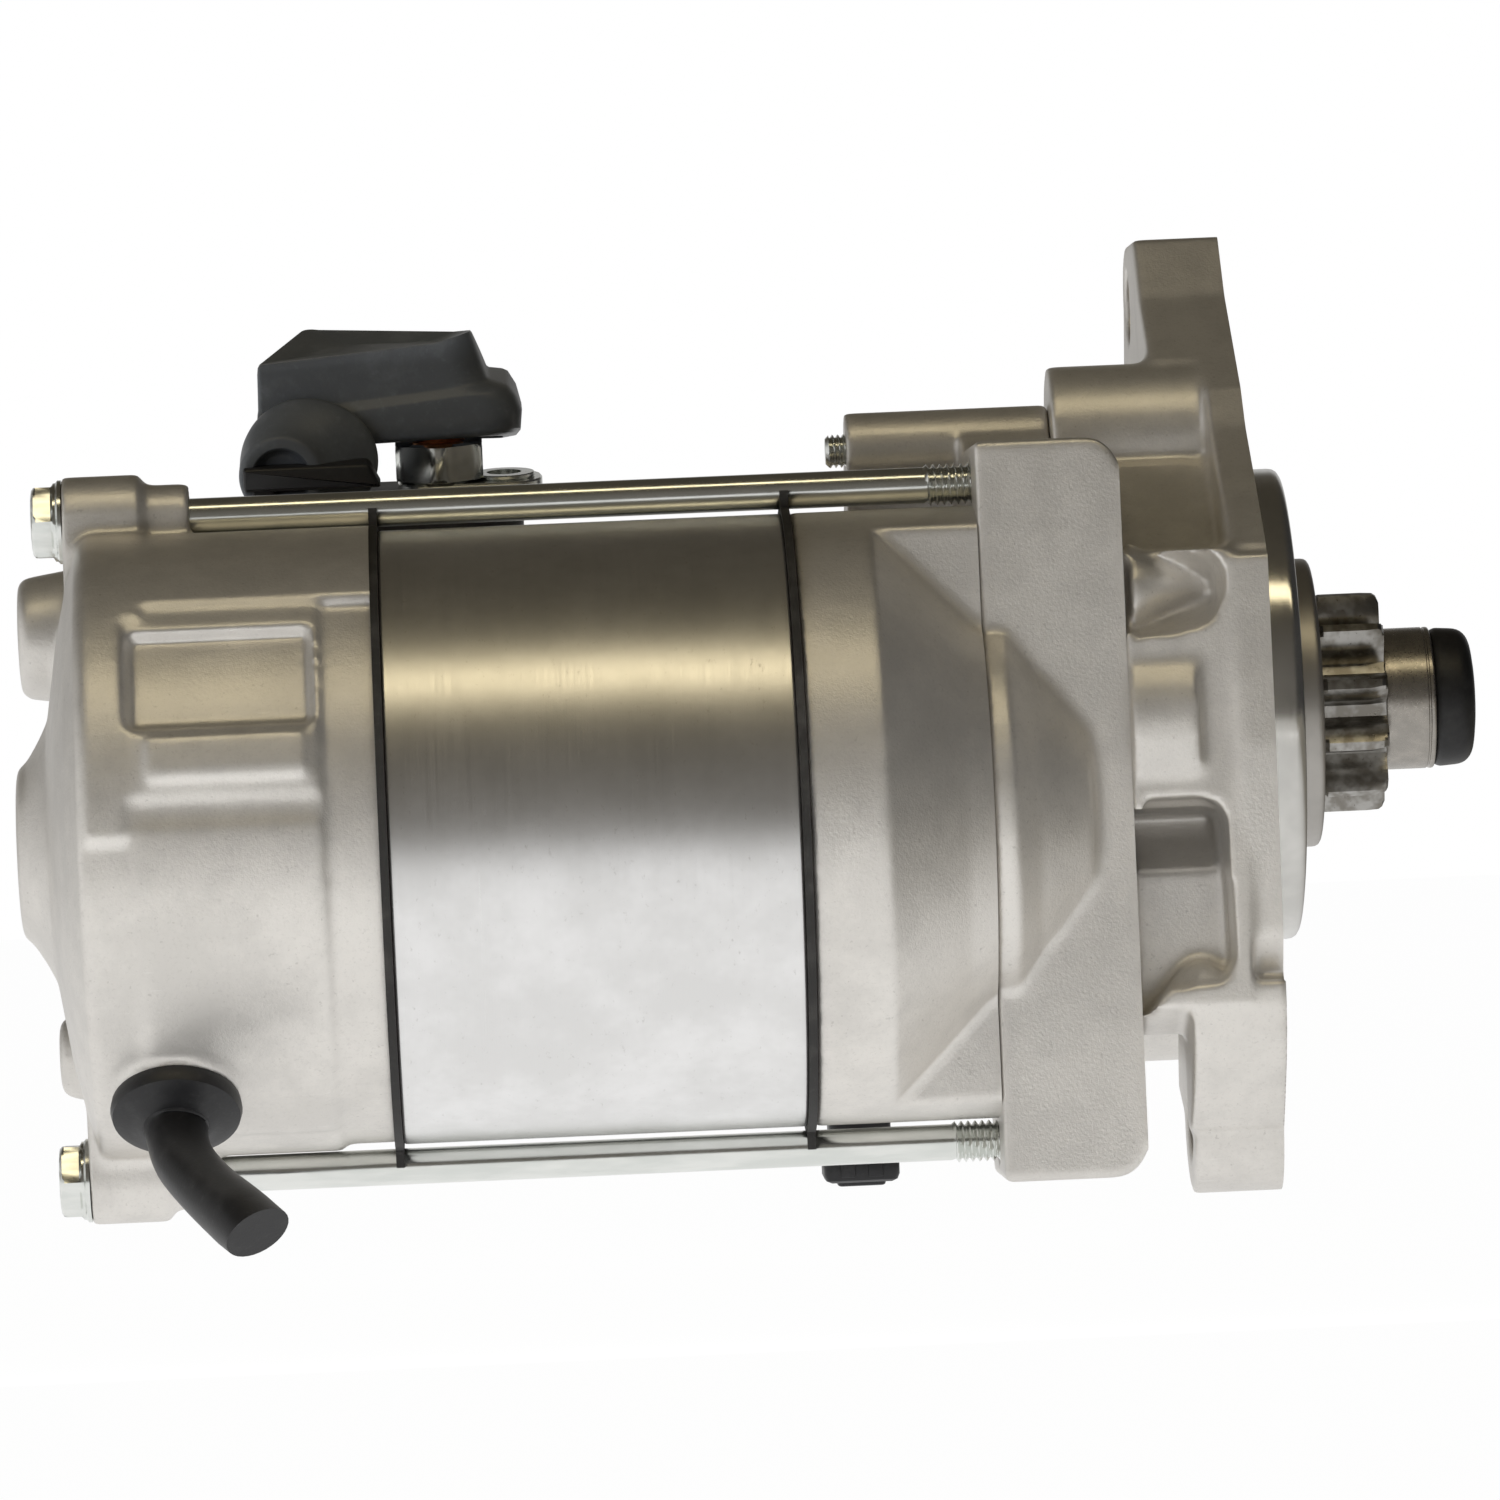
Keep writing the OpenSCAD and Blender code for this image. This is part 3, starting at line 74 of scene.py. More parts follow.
# Camera
LEAN = math.radians(2.5)
EYE = Vector((-0.1106, -1.470, -0.0035))
AIM = Vector((-0.0742, -0.070, -0.0035))
camera = bpy.data.objects.new("camera", bpy.data.cameras.new("camera"))
scene.collection.objects.link(camera)
scene.camera = camera
camera.data.lens = 234.2
camera.data.sensor_width = 36
camera.data.clip_start, camera.data.clip_end = 0.05, 20
back = (EYE - AIM).normalized()
side = Vector((math.sin(LEAN), 0, math.cos(LEAN))).cross(back).normalized()
camera.matrix_world = Matrix((side, back.cross(side), back)).transposed().to_4x4()
camera.location = EYE
scene.view_settings.view_transform = "Standard"


# Shader maths
class Val:
    """A socket that takes part in Python expressions."""

    def __init__(self, paint, socket):
        self.paint, self.socket = paint, socket

    def math(self, operation, *others, flip=False):
        terms = [self, *others]
        if flip:
            terms.reverse()
        return self.paint.node("ShaderNodeMath", {"operation": operation}, dict(enumerate(terms)))

    def __add__(self, other): return self.math("ADD", other)
    def __radd__(self, other): return self.math("ADD", other)
    def __sub__(self, other): return self.math("SUBTRACT", other)
    def __rsub__(self, other): return self.math("SUBTRACT", other, flip=True)
    def __mul__(self, other): return self.math("MULTIPLY", other)
    def __rmul__(self, other): return self.math("MULTIPLY", other)
    def __pow__(self, other): return self.math("POWER", other)

    def over(self, low, high):
        """0 below low, 1 above high, smooth between."""
        settings = {"interpolation_type": "SMOOTHSTEP"}
        return self.paint.node("ShaderNodeMapRange", settings, {0: self, 1: low, 2: high})

    def clip(self):
        return self.math("MAXIMUM", 0).math("MINIMUM", 1)

    def most(self, other): return self.math("MAXIMUM", other)


class Paint:
    """One material's node tree, built from expressions."""

    def __init__(self, name, data=None):
        self.data = data or bpy.data.materials.new(name)
        self.data.use_nodes = True
        self.tree = self.data.node_tree
        self.tree.nodes.clear()

    def node(self, kind, settings=None, inputs=None, out=0):
        made = self.tree.nodes.new(kind)
        for key, value in (settings or {}).items():
            setattr(made, key, value)
        for key, value in (inputs or {}).items():
            socket = made.inputs[key]
            if isinstance(value, Val):
                self.tree.links.new(value.socket, socket)
            elif isinstance(value, tuple) and socket.type == "RGBA" and len(value) == 3:
                socket.default_value = (*value, 1)
            else:
                socket.default_value = value
        return Val(self, made.outputs[out]) if made.outputs else None

    def point(self, scale=(1, 1, 1)):
        """The place on the piece in millimetres, stretched."""
        place = self.node("ShaderNodeTexCoord", out="Object")
        return self.node("ShaderNodeMapping", {}, {0: place, 3: tuple(s / MM for s in scale)})

    def split(self, vector):
        first = self.node("ShaderNodeSeparateXYZ", {}, {0: vector})
        return [Val(self, socket) for socket in first.socket.node.outputs]

    def noise(self, size, place=None, detail=3, rough=0.55):
        """Noise whose lumps are about size millimetres across."""
        inputs = {"Vector": place or self.point(), "Scale": 1 / size, "Detail": detail, "Roughness": rough}
        return self.node("ShaderNodeTexNoise", {}, inputs)

    def mix(self, factor, a, b):
        return self.node("ShaderNodeMix", {"data_type": "RGBA"}, {0: factor, 6: a, 7: b}, out=2)

    def bump(self, height, depth_mm, strength):
        return self.node("ShaderNodeBump", {}, {"Strength": strength, "Distance": depth_mm * MM, "Height": height})

    def finish(self, **inputs):
        shader = self.node("ShaderNodeBsdfPrincipled", {}, inputs)
        self.node("ShaderNodeOutputMaterial", {}, {0: shader})
        return self.data


# Finishes
def cast_aluminium():
    """Blasted alloy: soft mottle, fine grain, a few flecks and scratches along X."""
    p = Paint("cast_aluminium")
    tone = (0.78, 0.755, 0.715)
    broad = p.noise(30, detail=3)
    mottle = p.noise(5, detail=5, rough=0.7)
    grit = p.noise(0.45, detail=2)
    fleck = p.noise(0.8, detail=3).over(0.66, 0.74)
    grain = p.noise(0.6, detail=4, rough=0.75)
    scratch = p.noise(1, place=p.point((0.16, 1.6, 1.6)), detail=2, rough=0.7).over(0.68, 0.76)
    dull = tuple(c * 0.86 for c in tone)
    colour = p.mix((broad * 0.6 + mottle * 0.4).over(0.38, 0.62), dull, tone)
    colour = p.mix(fleck * 0.3, colour, (0.34, 0.32, 0.29))
    colour = p.mix(grain.over(0.52, 0.72) * 0.30, colour, (0.50, 0.48, 0.45))
    colour = p.mix(scratch * 0.25, colour, (0.88, 0.87, 0.85))
    height = grit * 0.7 + mottle * 0.2 + p.noise(0.2, detail=1) * 0.3
    return p.finish(**{"Base Color": colour, "Metallic": 0.78, "Roughness": (0.37 + mottle * 0.1).clip(),
                       "Normal": p.bump(height, 0.08, 0.7)})


def machined(name, tone, rough):
    """Turned metal, with fine rings round an axis along X."""
    p = Paint(name)
    x, y, z = p.split(p.point())
    radius = (y * y + z * z) ** 0.5
    rings = p.node("ShaderNodeCombineXYZ", {}, {0: x * 9, 1: radius * 9, 2: 0.0})
    lines = p.noise(1, place=rings, detail=3, rough=0.7)
    stain = p.noise(9, detail=3)
    colour = p.mix(stain.over(0.35, 0.7), tuple(c * 0.86 for c in tone), tone)
    return p.finish(**{"Base Color": colour, "Metallic": 0.95, "Roughness": rough + lines * 0.14,
                       "Normal": p.bump(lines, 0.012, 0.6)})


def yoke_steel():
    """Polished tube: fine marks round it and a few stains."""
    p = Paint("yoke_steel")
    fine = p.noise(1, place=p.point((11, 0.06, 0.06)), detail=4, rough=0.7)
    coarse = p.noise(1, place=p.point((1.6, 0.025, 0.025)), detail=2)
    speck = p.noise(1, place=p.point((1.2, 0.7, 0.7)), detail=4, rough=0.75).over(0.60, 0.75)
    cloud = p.noise(16, detail=4, rough=0.65)
    tone = p.mix(cloud.over(0.35, 0.7), (0.76, 0.755, 0.745), (0.86, 0.855, 0.85))
    tone = p.mix(speck * 0.30, tone, (0.36, 0.34, 0.31))
    return p.finish(**{"Base Color": tone, "Metallic": 1.0,
                       "Roughness": (0.20 + fine * 0.16 + coarse * 0.08 + speck * 0.12).clip(),
                       "Normal": p.bump(fine * 0.7 + coarse * 0.6 + p.noise(0.3, detail=2) * 0.5, 0.014, 0.8)})


def zinc():
    """Clear zinc plate: bright, with a faint haze drawn out along X."""
    p = Paint("bright_zinc")
    cloud = p.noise(1, place=p.point((0.08, 0.4, 0.4)), detail=3)
    haze = p.noise(1, place=p.point((0.3, 1.4, 1.4)), detail=3)
    tone = p.mix(cloud.over(0.35, 0.7), (0.70, 0.72, 0.69), (0.80, 0.81, 0.78))
    return p.finish(**{"Base Color": tone, "Metallic": 1.0, "Roughness": (0.12 + haze * 0.14).clip(),
                       "Normal": p.bump(haze, 0.004, 0.4)})


def gear_steel():
    """Hardened dark steel, rubbed bright in places, with a few oily specks."""
    p = Paint("gear_steel")
    rub = p.noise(2.4, detail=2)
    speck = p.noise(0.5, detail=3, rough=0.7).over(0.62, 0.70)
    tone = p.mix(rub.over(0.38, 0.66), (0.25, 0.235, 0.21), (0.46, 0.45, 0.43))
    tone = p.mix(speck * 0.6, tone, (0.10, 0.09, 0.075))
    return p.finish(**{"Base Color": tone, "Metallic": 1.0, "Roughness": (0.24 + rub * 0.12 + speck * 0.2).clip(),
                       "Normal": p.bump(rub, 0.02, 0.3)})


def rubber(name, tone, scuff, amount, rough=0.5):
    """Moulded rubber or plastic, rubbed pale in patches by the amount given."""
    p = Paint(name)
    grain = p.noise(0.35, detail=2)
    patch = p.noise(7, detail=5, rough=0.65)
    dust = p.noise(1.3, detail=4, rough=0.7).over(0.55, 0.8)
    colour = p.mix((patch.over(0.45, 0.75) * 0.7 + dust * 0.5).clip() * amount, tone, scuff)
    return p.finish(**{"Base Color": colour, "Roughness": (rough + patch * 0.2 - dust * 0.05).clip(),
                       "Specular IOR Level": 0.45, "Normal": p.bump(grain * 0.6 + patch * 1.5, 0.06, 0.5)})


def plain_metal(name, tone, dark, rough=0.3):
    """Bar stock or plated metal with soft clouds."""
    p = Paint(name)
    cloud = p.noise(3.0, detail=4)
    fine = p.noise(0.5, detail=2)
    return p.finish(**{"Base Color": p.mix(cloud.over(0.35, 0.7), dark, tone), "Metallic": 1.0,
                       "Roughness": (rough + fine * 0.16 - 0.05).clip(), "Normal": p.bump(fine, 0.02, 0.6)})


def laminations():
    """Thin steel sheets stacked along X."""
    p = Paint("laminations")
    sheet = (p.split(p.point())[0] * 2).math("FRACT")
    gap = sheet.over(0.0, 0.12) * (1 - sheet.over(0.88, 1.0))
    cloud = p.noise(5, detail=3)
    tone = p.mix(gap, (0.08, 0.075, 0.07), (0.30, 0.295, 0.29))
    return p.finish(**{"Base Color": p.mix(cloud * 0.3, tone, (0.2, 0.15, 0.1)), "Metallic": 0.8,
                       "Roughness": 0.42 + cloud * 0.15, "Normal": p.bump(gap, 0.06, 0.7)})


def wound_copper():
    """Enamelled copper in soft clouds, with strands drawn along X."""
    p = Paint("copper")
    cloud = p.noise(4, detail=4)
    strand = p.noise(1, place=p.point((0.15, 1.4, 1.4)), detail=2)
    tone = p.mix(cloud.over(0.35, 0.7), (0.42, 0.17, 0.07), (0.72, 0.36, 0.18))
    return p.finish(**{"Base Color": tone, "Metallic": 0.85, "Roughness": 0.28 + strand * 0.2,
                       "Normal": p.bump(strand, 0.05, 0.6)})


def brush_carbon():
    """Pressed carbon with glints of copper."""
    p = Paint("carbon")
    grain = p.noise(0.5, detail=3)
    glint = p.noise(0.3, detail=1).over(0.66, 0.72)
    return p.finish(**{"Base Color": p.mix(glint, (0.03, 0.028, 0.027), (0.35, 0.22, 0.15)),
                       "Metallic": glint * 0.8, "Roughness": 0.55 + grain * 0.2, "Normal": p.bump(grain, 0.05, 0.6)})


FINISHES = {
    "cast_aluminium": cast_aluminium(),
    "yoke_steel": yoke_steel(),
    "bright_zinc": zinc(),
    "gear_steel": gear_steel(),
    "bright_steel": plain_metal("bright_steel", (0.55, 0.54, 0.53), (0.40, 0.39, 0.38)),
    "dark_steel": plain_metal("dark_steel", (0.47, 0.44, 0.40), (0.38, 0.36, 0.33), rough=0.26),
    "laminations": laminations(),
    "copper": wound_copper(),
    "bronze": plain_metal("bronze", (0.62, 0.42, 0.20), (0.44, 0.28, 0.13), rough=0.35),
    "carbon": brush_carbon(),
    "black_rubber": rubber("black_rubber", (0.009, 0.009, 0.010), (0.06, 0.06, 0.06), 0.5, rough=0.34),
    "grey_rubber": rubber("grey_rubber", (0.11, 0.122, 0.14), (0.24, 0.26, 0.29), 0.6, rough=0.30),
    "gasket": rubber("gasket_paper", (0.02, 0.019, 0.018), (0.09, 0.085, 0.08), 0.6, rough=0.6),
    "black_plastic": rubber("black_plastic", (0.014, 0.014, 0.016), (0.05, 0.05, 0.055), 0.4, rough=0.33),
}
for name, solid in nodes.items():
    solid.data.materials.clear()
    solid.data.materials.append(FINISHES[slot_of[name]])


# Where things lie, in millimetres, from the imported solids
def span(node, axis):
    """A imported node's limits along one axis."""
    low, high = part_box(node)
    return low[axis] / MM, high[axis] / MM


def middle_of(node, axis):
    """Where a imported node's middle lies along one axis."""
    low, high = span(node, axis)
    return (low + high) / 2


def half_of(node, axis):
    """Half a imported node's size along one axis."""
    low, high = span(node, axis)
    return (high - low) / 2


joints = {joint["name"]: joint for joint in frame["joints"]}
MOTOR = tuple(c / MM for c in joints["armature_spin"]["pos_m"][1:])
END_X, RIM_X = span("commutator_end_frame", 0)
YOKE_X = span("yoke", 0)
YOKE_R = half_of("yoke", 2)
SWITCH_X, HOUSING_X = span("switch_housing", 0)
BLOCK_X = span("front_frame", 0)[1]
NOSE_X = span("drive_housing", 0)[1]
PILOT_X = NOSE_X - 4
PILOT_R, NOSE_R = 35.5, 21.75
DRAIN_X = RIM_X - 30.2
BOLT_X = span("through_bolts", 0)
PINION_X = span("pinion", 0)
COLLAR_X = span("pinion_collar", 0)
CAP_X = span("shaft_end_cap", 0)
BOLT_OFFSET = 47.2
TEETH, MODULE = 11, 2.54
TIP_R = MODULE * (TEETH / 2 + 1.05)
TERMINAL_LEAN = math.radians(10)
STUD_X = -117.2
BASE_TOP = 38.2
COLLAR_TOP = 27.5
STEPS, ROUND, PER_PITCH = 96, 60, 8
WELD = 2e-6


# Meshes
def mesh_of(name, points, faces, weld=False):
    """A mesh from points in millimetres, its faces turned outwards; weld joins points that coincide."""
    mesh = bpy.data.meshes.new(name)
    mesh.from_pydata([tuple(c * MM for c in p) for p in points], [], faces)
    work = bmesh.new()
    work.from_mesh(mesh)
    if weld:
        bmesh.ops.remove_doubles(work, verts=work.verts, dist=WELD)
    bmesh.ops.recalc_face_normals(work, faces=work.faces)
    work.to_mesh(mesh)
    work.free()
    return mesh


def new_piece(name, points, faces, finish, stands_for=(), body="housing", crease=38, slot=None):
    """A closed piece from points in millimetres, with its finish, on its body."""
    return settle(name, mesh_of(name, points, faces), finish, stands_for, body, crease)


def settle(name, mesh, finish, stands_for, body="housing", crease=38):
    """Puts a mesh in metres on its body and hides the nodes it stands for."""
    mesh.polygons.foreach_set("use_smooth", [True] * len(mesh.polygons))
    mesh.set_sharp_from_angle(angle=math.radians(crease))
    mesh.materials.clear()
    mesh.materials.append(finish)
    made = bpy.data.objects.new(name, mesh)
    scene.collection.objects.link(made)
    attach(made, body)
    if stands_for:
        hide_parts(*stands_for)
    return made


def loft(rings, ends=True, round_trip=False):
    """Faces between rings of points that follow each other."""
    count = len(rings[0])
    points = [p for ring in rings for p in ring]
    pairs = list(zip(range(len(rings) - 1), range(1, len(rings))))
    if round_trip:
        pairs.append((len(rings) - 1, 0))
    faces = [(a * count + k, a * count + (k + 1) % count, b * count + (k + 1) % count, b * count + k)
             for a, b in pairs for k in range(count)]
    if ends and not round_trip:
        faces.append(tuple(range(count - 1, -1, -1)))
        faces.append(tuple((len(rings) - 1) * count + k for k in range(count)))
    return points, faces


def join(*parts):
    """Several closed parts as one."""
    points, faces = [], []
    for more_points, more_faces in parts:
        faces += [tuple(i + len(points) for i in face) for face in more_faces]
        points += more_points
    return points, faces


def circle_at(x, radius, centre=(0, 0), steps=ROUND):
    """A ring round an axis along X; radius is a number or follows the angle."""
    ring = []
    for k in range(steps):
        angle = 2 * math.pi * k / steps
        r = radius(angle) if callable(radius) else radius
        ring.append((x, centre[0] + r * math.cos(angle), centre[1] + r * math.sin(angle)))
    return ring


def soften(corners, bits=4):
    """Corners (u, v, cut) of an outline; each is cut back and rounded."""
    outline = []
    for i, (u, v, cut) in enumerate(corners):
        here = Vector((u, v))
        if not cut:
            outline.append(here)
            continue
        before = Vector(corners[i - 1][:2]) - here
        after = Vector(corners[(i + 1) % len(corners)][:2]) - here
        a = here + before.normalized() * min(cut, before.length * 0.49)
        b = here + after.normalized() * min(cut, after.length * 0.49)
        for k in range(bits + 1):
            t = k / bits
            outline.append(a * (1 - t) ** 2 + here * 2 * t * (1 - t) + b * t ** 2)
    return outline


def lathe(corners, centre=(0, 0), steps=STEPS, hollow=False):
    """A turned shape from corners (x, r, cut)."""
    rings = [circle_at(p[0], max(p[1], 0.01), centre, steps) for p in soften(corners)]
    return loft(rings, ends=not hollow, round_trip=hollow)


def copy_of(node):
    """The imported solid's own points and faces, in millimetres."""
    mesh = nodes[node].data
    return [tuple(c / MM for c in v.co) for v in mesh.vertices], [tuple(f.vertices) for f in mesh.polygons]


# Castings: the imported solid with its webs, remeshed finely, worn smooth, then faced off where it was machined
RUN_OUT = 1.5


def relax(mesh, rounds):
    """Draws every vertex towards its neighbours, which rounds the edges like sand casting does."""
    count = len(mesh.vertices)
    place = np.empty(count * 3)
    mesh.vertices.foreach_get("co", place)
    place = place.reshape(-1, 3)
    ends = np.empty(len(mesh.edges) * 2, int)
    mesh.edges.foreach_get("vertices", ends)
    a, b = ends.reshape(-1, 2).T
    degree = (np.bincount(a, minlength=count) + np.bincount(b, minlength=count))[:, None]
    for _ in range(rounds):
        total = np.stack([np.bincount(a, place[b, i], count) + np.bincount(b, place[a, i], count)
                          for i in range(3)], 1)
        place = total / degree
    mesh.vertices.foreach_set("co", place.ravel())
    mesh.update()


def stand_in(name, mesh):
    """An object that only lends its mesh to a modifier."""
    made = bpy.data.objects.new(name, mesh)
    scene.collection.objects.link(made)
    return made


def shaped(mesh, kind, **settings):
    """The mesh after one modifier."""
    blank = stand_in("blank", mesh)
    modifier = blank.modifiers.new(kind, kind)
    for key, value in settings.items():
        setattr(modifier, key, value)
    result = bpy.data.meshes.new_from_object(blank.evaluated_get(bpy.context.evaluated_depsgraph_get()))
    bpy.data.objects.remove(blank)
    return result


def combined(mesh, operation, part):
    """The mesh with a part cut out, put on or kept in common."""
    tool = stand_in("tool", mesh_of("closed", *part, weld=True))
    result = shaped(mesh, "BOOLEAN", operation=operation, solver="MANIFOLD", object=tool)
    bpy.data.objects.remove(tool)
    return result


def block(x, y, z):
    """A plain box between limits, as points and faces."""
    points = [(a, b, c) for a in x for b in y for c in z]
    return points, [(0, 1, 3, 2), (4, 6, 7, 5), (0, 4, 5, 1), (2, 3, 7, 6), (0, 2, 6, 4), (1, 5, 7, 3)]


def casting(name, node, finish, add=(), carve=(), weld=(), faced=(None, None), grain=0.6, rounds=2, keep=0.4):
    """add goes in first, then carve is cut out, then weld is put on; faced gives the machined planes along X."""
    low, high = faced
    points, faces = copy_of(node)
    for i, (x, y, z) in enumerate(points):
        if low is not None and x < low + 0.05:
            points[i] = (low - RUN_OUT, y, z)
        if high is not None and x > high - 0.05:
            points[i] = (high + RUN_OUT, y, z)
    whole = mesh_of("closed", *join((points, faces), *add), weld=True)
    mesh = shaped(whole, "REMESH", mode="VOXEL", voxel_size=grain * MM)
    for part in carve:
        mesh = combined(mesh, "DIFFERENCE", part)
    for part in weld:
        mesh = combined(mesh, "UNION", part)
    if carve or weld:
        mesh = shaped(mesh, "REMESH", mode="VOXEL", voxel_size=grain * MM)
    relax(mesh, rounds)
    mesh = shaped(mesh, "DECIMATE", ratio=keep)
    if low is not None or high is not None:
        room = block((-400 if low is None else low, 400 if high is None else high), (-300, 300), (-300, 300))
        mesh = combined(mesh, "INTERSECT", room)
    mesh.name = name
    made = settle(name, mesh, finish, (node,), crease=50)
    made.modifiers.new("faces_first", "WEIGHTED_NORMAL").keep_sharp = True
    return made


def finger(stations, far):
    """Ellipses along X, each (x, z, half height, near y), reaching back to far."""
    rings, steps = [], 32
    for x, z, half, near in stations:
        middle, depth = (near + far) / 2, (far - near) / 2
        rings.append([(x, MOTOR[0] + middle + depth * math.cos(2 * math.pi * k / steps),
                       MOTOR[1] + z + half * math.sin(2 * math.pi * k / steps)) for k in range(steps)])
    return loft(rings)


def motor_slab(outline, near, far):
    """An outline in X and Z from the motor axis, between two depths from that axis."""
    return loft([[(x, MOTOR[0] + y, MOTOR[1] + z) for x, z in outline] for y in (near, far)])


def slab_along(x, outline):
    """An outline in Y and Z from the motor axis, run along X."""
    return loft([[(station, MOTOR[0] + y, MOTOR[1] + z) for y, z in outline] for station in x])


def arc_block(x, radii, angles, taper):
    """A raised band round the motor: limits in X, radius and degrees, its edges sloping over the taper."""
    rings, steps = [], 24
    for station, sink in ((x[0] - taper, 1), (x[0], 0), (x[1], 0), (x[1] + taper, 1)):
        ring = []
        lean = math.degrees(taper / radii[1])
        for k in range(steps + 1):
            angle = math.radians(angles[0] + (angles[1] - angles[0]) * k / steps)
            ring.append((radii[1] - sink * (radii[1] - radii[0]) * 0.9, angle))
        for k in range(steps + 1):
            angle = math.radians(angles[1] + lean - (angles[1] - angles[0] + 2 * lean) * k / steps)
            ring.append((radii[0], angle))
        rings.append([(station, MOTOR[0] + r * math.cos(a), MOTOR[1] + r * math.sin(a)) for r, a in ring])
    return loft(rings)


def build_end_frame():
    """Belts, ledge, rib and panel stand a little proud of the wall; the channel is sunk in it."""
    wall, raised = 43.4, 45.3
    left, belt = END_X + 11.6, END_X + 19.2
    neck = arc_block((left, belt), (wall, raised), (98, 134), 0.8)
    low_belt = arc_block((left, belt - 2.6), (wall, raised), (134, 178), 0.8)
    ledge = arc_block((belt, RIM_X + 1), (wall, raised), (98, 130.6), 0.4)
    rib = arc_block((belt + 1.2, RIM_X - 10), (wall, 46.2), (160.2, 167.4), 1.7)
    panel = arc_block((belt - 1, RIM_X - 8.5), (wall, 45.0), (176, 246), 0.5)
    channel = arc_block((belt - 1.0, RIM_X - 9.0), (50, 42.5), (137.4, 156.8), 2.6)
    casting("end_frame_casting", "commutator_end_frame", FINISHES["cast_aluminium"],
            add=(neck, low_belt, ledge, rib, panel), carve=(channel,), faced=(None, RIM_X))


def build_drive_housing():
    """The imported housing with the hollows, web and lip that face the motor side."""
    scoop = finger([(-19.5, 31.0, 7.2, -30), (-16, 31.2, 7.0, -30), (-12, 30.8, 6.2, -30), (-9, 30.4, 5.0, -30),
                    (-7.2, 30.2, 3.2, -30)], -6)
    web = finger([(-19.5, 30.2, 7.6, -14.0), (-17.5, 30.6, 6.2, -13.4), (-15.5, 31.0, 5.0, -12.4),
                  (-13.5, 31.2, 4.0, -11.2), (-11.5, 31.2, 3.2, -9.6), (-9.5, 31.0, 2.4, -8.0), (-8, 31.0, 1.4, -7)], 2)
    floor_outline = [(HOUSING_X - 3, -0.6), (-9.4, -0.6), (-7.6, -1.8), (-7.2, -11), (-6.9, -22.6), (-7.8, -24),
                     (-10, -22.6), (-12.1, -22.2), (-14.3, -23.6), (-15.8, -25.2), (-19.4, -29.6),
                     (HOUSING_X - 3, -30.2)]
    floor = motor_slab(floor_outline, -19, -6.5)
    pit = slab_along((HOUSING_X - 3, -8.2), [(-19, -0.6), (4, -1.6), (4, -3.4), (-6.6, -9.6), (-19, -9.6)])
    lip = finger([(-15.8, -27.4, 1.6, -12), (-14.2, -27.2, 3.2, -14), (-12.2, -27, 4.2, -16), (-10.2, -27, 4.0, -16.2),
                  (-8.4, -27, 2.6, -16)], -4)
    seam = slab_along((-7.6, -6.5), [(-40, 36), (1.4, 36), (7.0, 40), (21, 50), (21, 53), (-40, 53)])
    parting = slab_along((-6.4, 1), [(-40, 35.2), (-12.0, 35.2), (-12.0, 36.3), (-40, 36.3)])
    apron = slab_along((-13.4, 0.4), [(-16.9, -25.5), (-16.7, -29), (-15.2, -33), (-12.2, -37.5), (-8, -42),
                                      (-2.6, -47), (4, -47), (4, -25.5)])
    casting("drive_housing_casting", "drive_housing", FINISHES["cast_aluminium"],
            carve=(scoop, floor, pit, seam, parting), weld=(web, lip, apron), faced=(None, 0))
    turned_face = machined("turned_face", (0.70, 0.69, 0.66), rough=0.08)
    bearing_r, seal_r, shaft_r = 21, 13.5, 9.4
    pilot = lathe([(0, bearing_r, 0), (0, PILOT_R, 0), (PILOT_X, PILOT_R, 1.6), (PILOT_X, bearing_r, 0)],
                  steps=192, hollow=True)
    new_piece("pilot_ring", *pilot, turned_face, slot="cast_aluminium")
    nose = lathe([(PILOT_X - 0.3, bearing_r, 0), (PILOT_X, NOSE_R, 0), (NOSE_X, NOSE_R, 1.1),
                  (NOSE_X, shaft_r, 0.5), (NOSE_X - 1, shaft_r, 0), (NOSE_X - 1, seal_r, 0), (PILOT_X + 1, seal_r, 0),
                  (PILOT_X + 1, seal_r + 1, 0), (PILOT_X - 0.3, seal_r + 1, 0)], steps=160, hollow=True)
    new_piece("nose_ring", *nose, machined("nose_face", (0.52, 0.50, 0.47), rough=0.32), slot="cast_aluminium")


def build_castings():
    """The five housings; the funnel carries the front frame's cone a little way on to the gear case."""
    alloy = FINISHES["cast_aluminium"]
    build_end_frame()
    casting("front_frame_casting", "front_frame", alloy, faced=(None, BLOCK_X))
    funnel = lathe([(-37, 16, 0), (-37, 28.0, 0), (-26.5, 19.3, 0), (-25.7, 16, 0)], MOTOR, hollow=True)
    casting("switch_and_gear_case_casting", "switch_housing", alloy, add=(funnel,), faced=(SWITCH_X, HOUSING_X))
    build_drive_housing()
    casting("switch_cover_pressing", "switch_cover", FINISHES["bright_zinc"], rounds=3)


def build_yoke():
    x0, x1 = YOKE_X
    bore_r, edge = YOKE_R - 4.4, 0.5
    yoke = lathe([(x0, bore_r, 0), (x0, YOKE_R, edge), (x1, YOKE_R, edge), (x1, bore_r, 0)], MOTOR,
                 steps=192, hollow=True)
    new_piece("yoke_tube", *yoke, FINISHES["yoke_steel"], ("yoke",))


# Threads, heads and screws along X
NO_LIMIT = 99.0


def hexagon(across, limit=NO_LIMIT, turn=0.0):
    """The radius of a hexagon at an angle, turned down to the limit."""
    def radius(angle):
        part = math.degrees(angle - turn) % 60 - 30
        return min(across / 2 / math.cos(math.radians(part)), limit)
    return radius


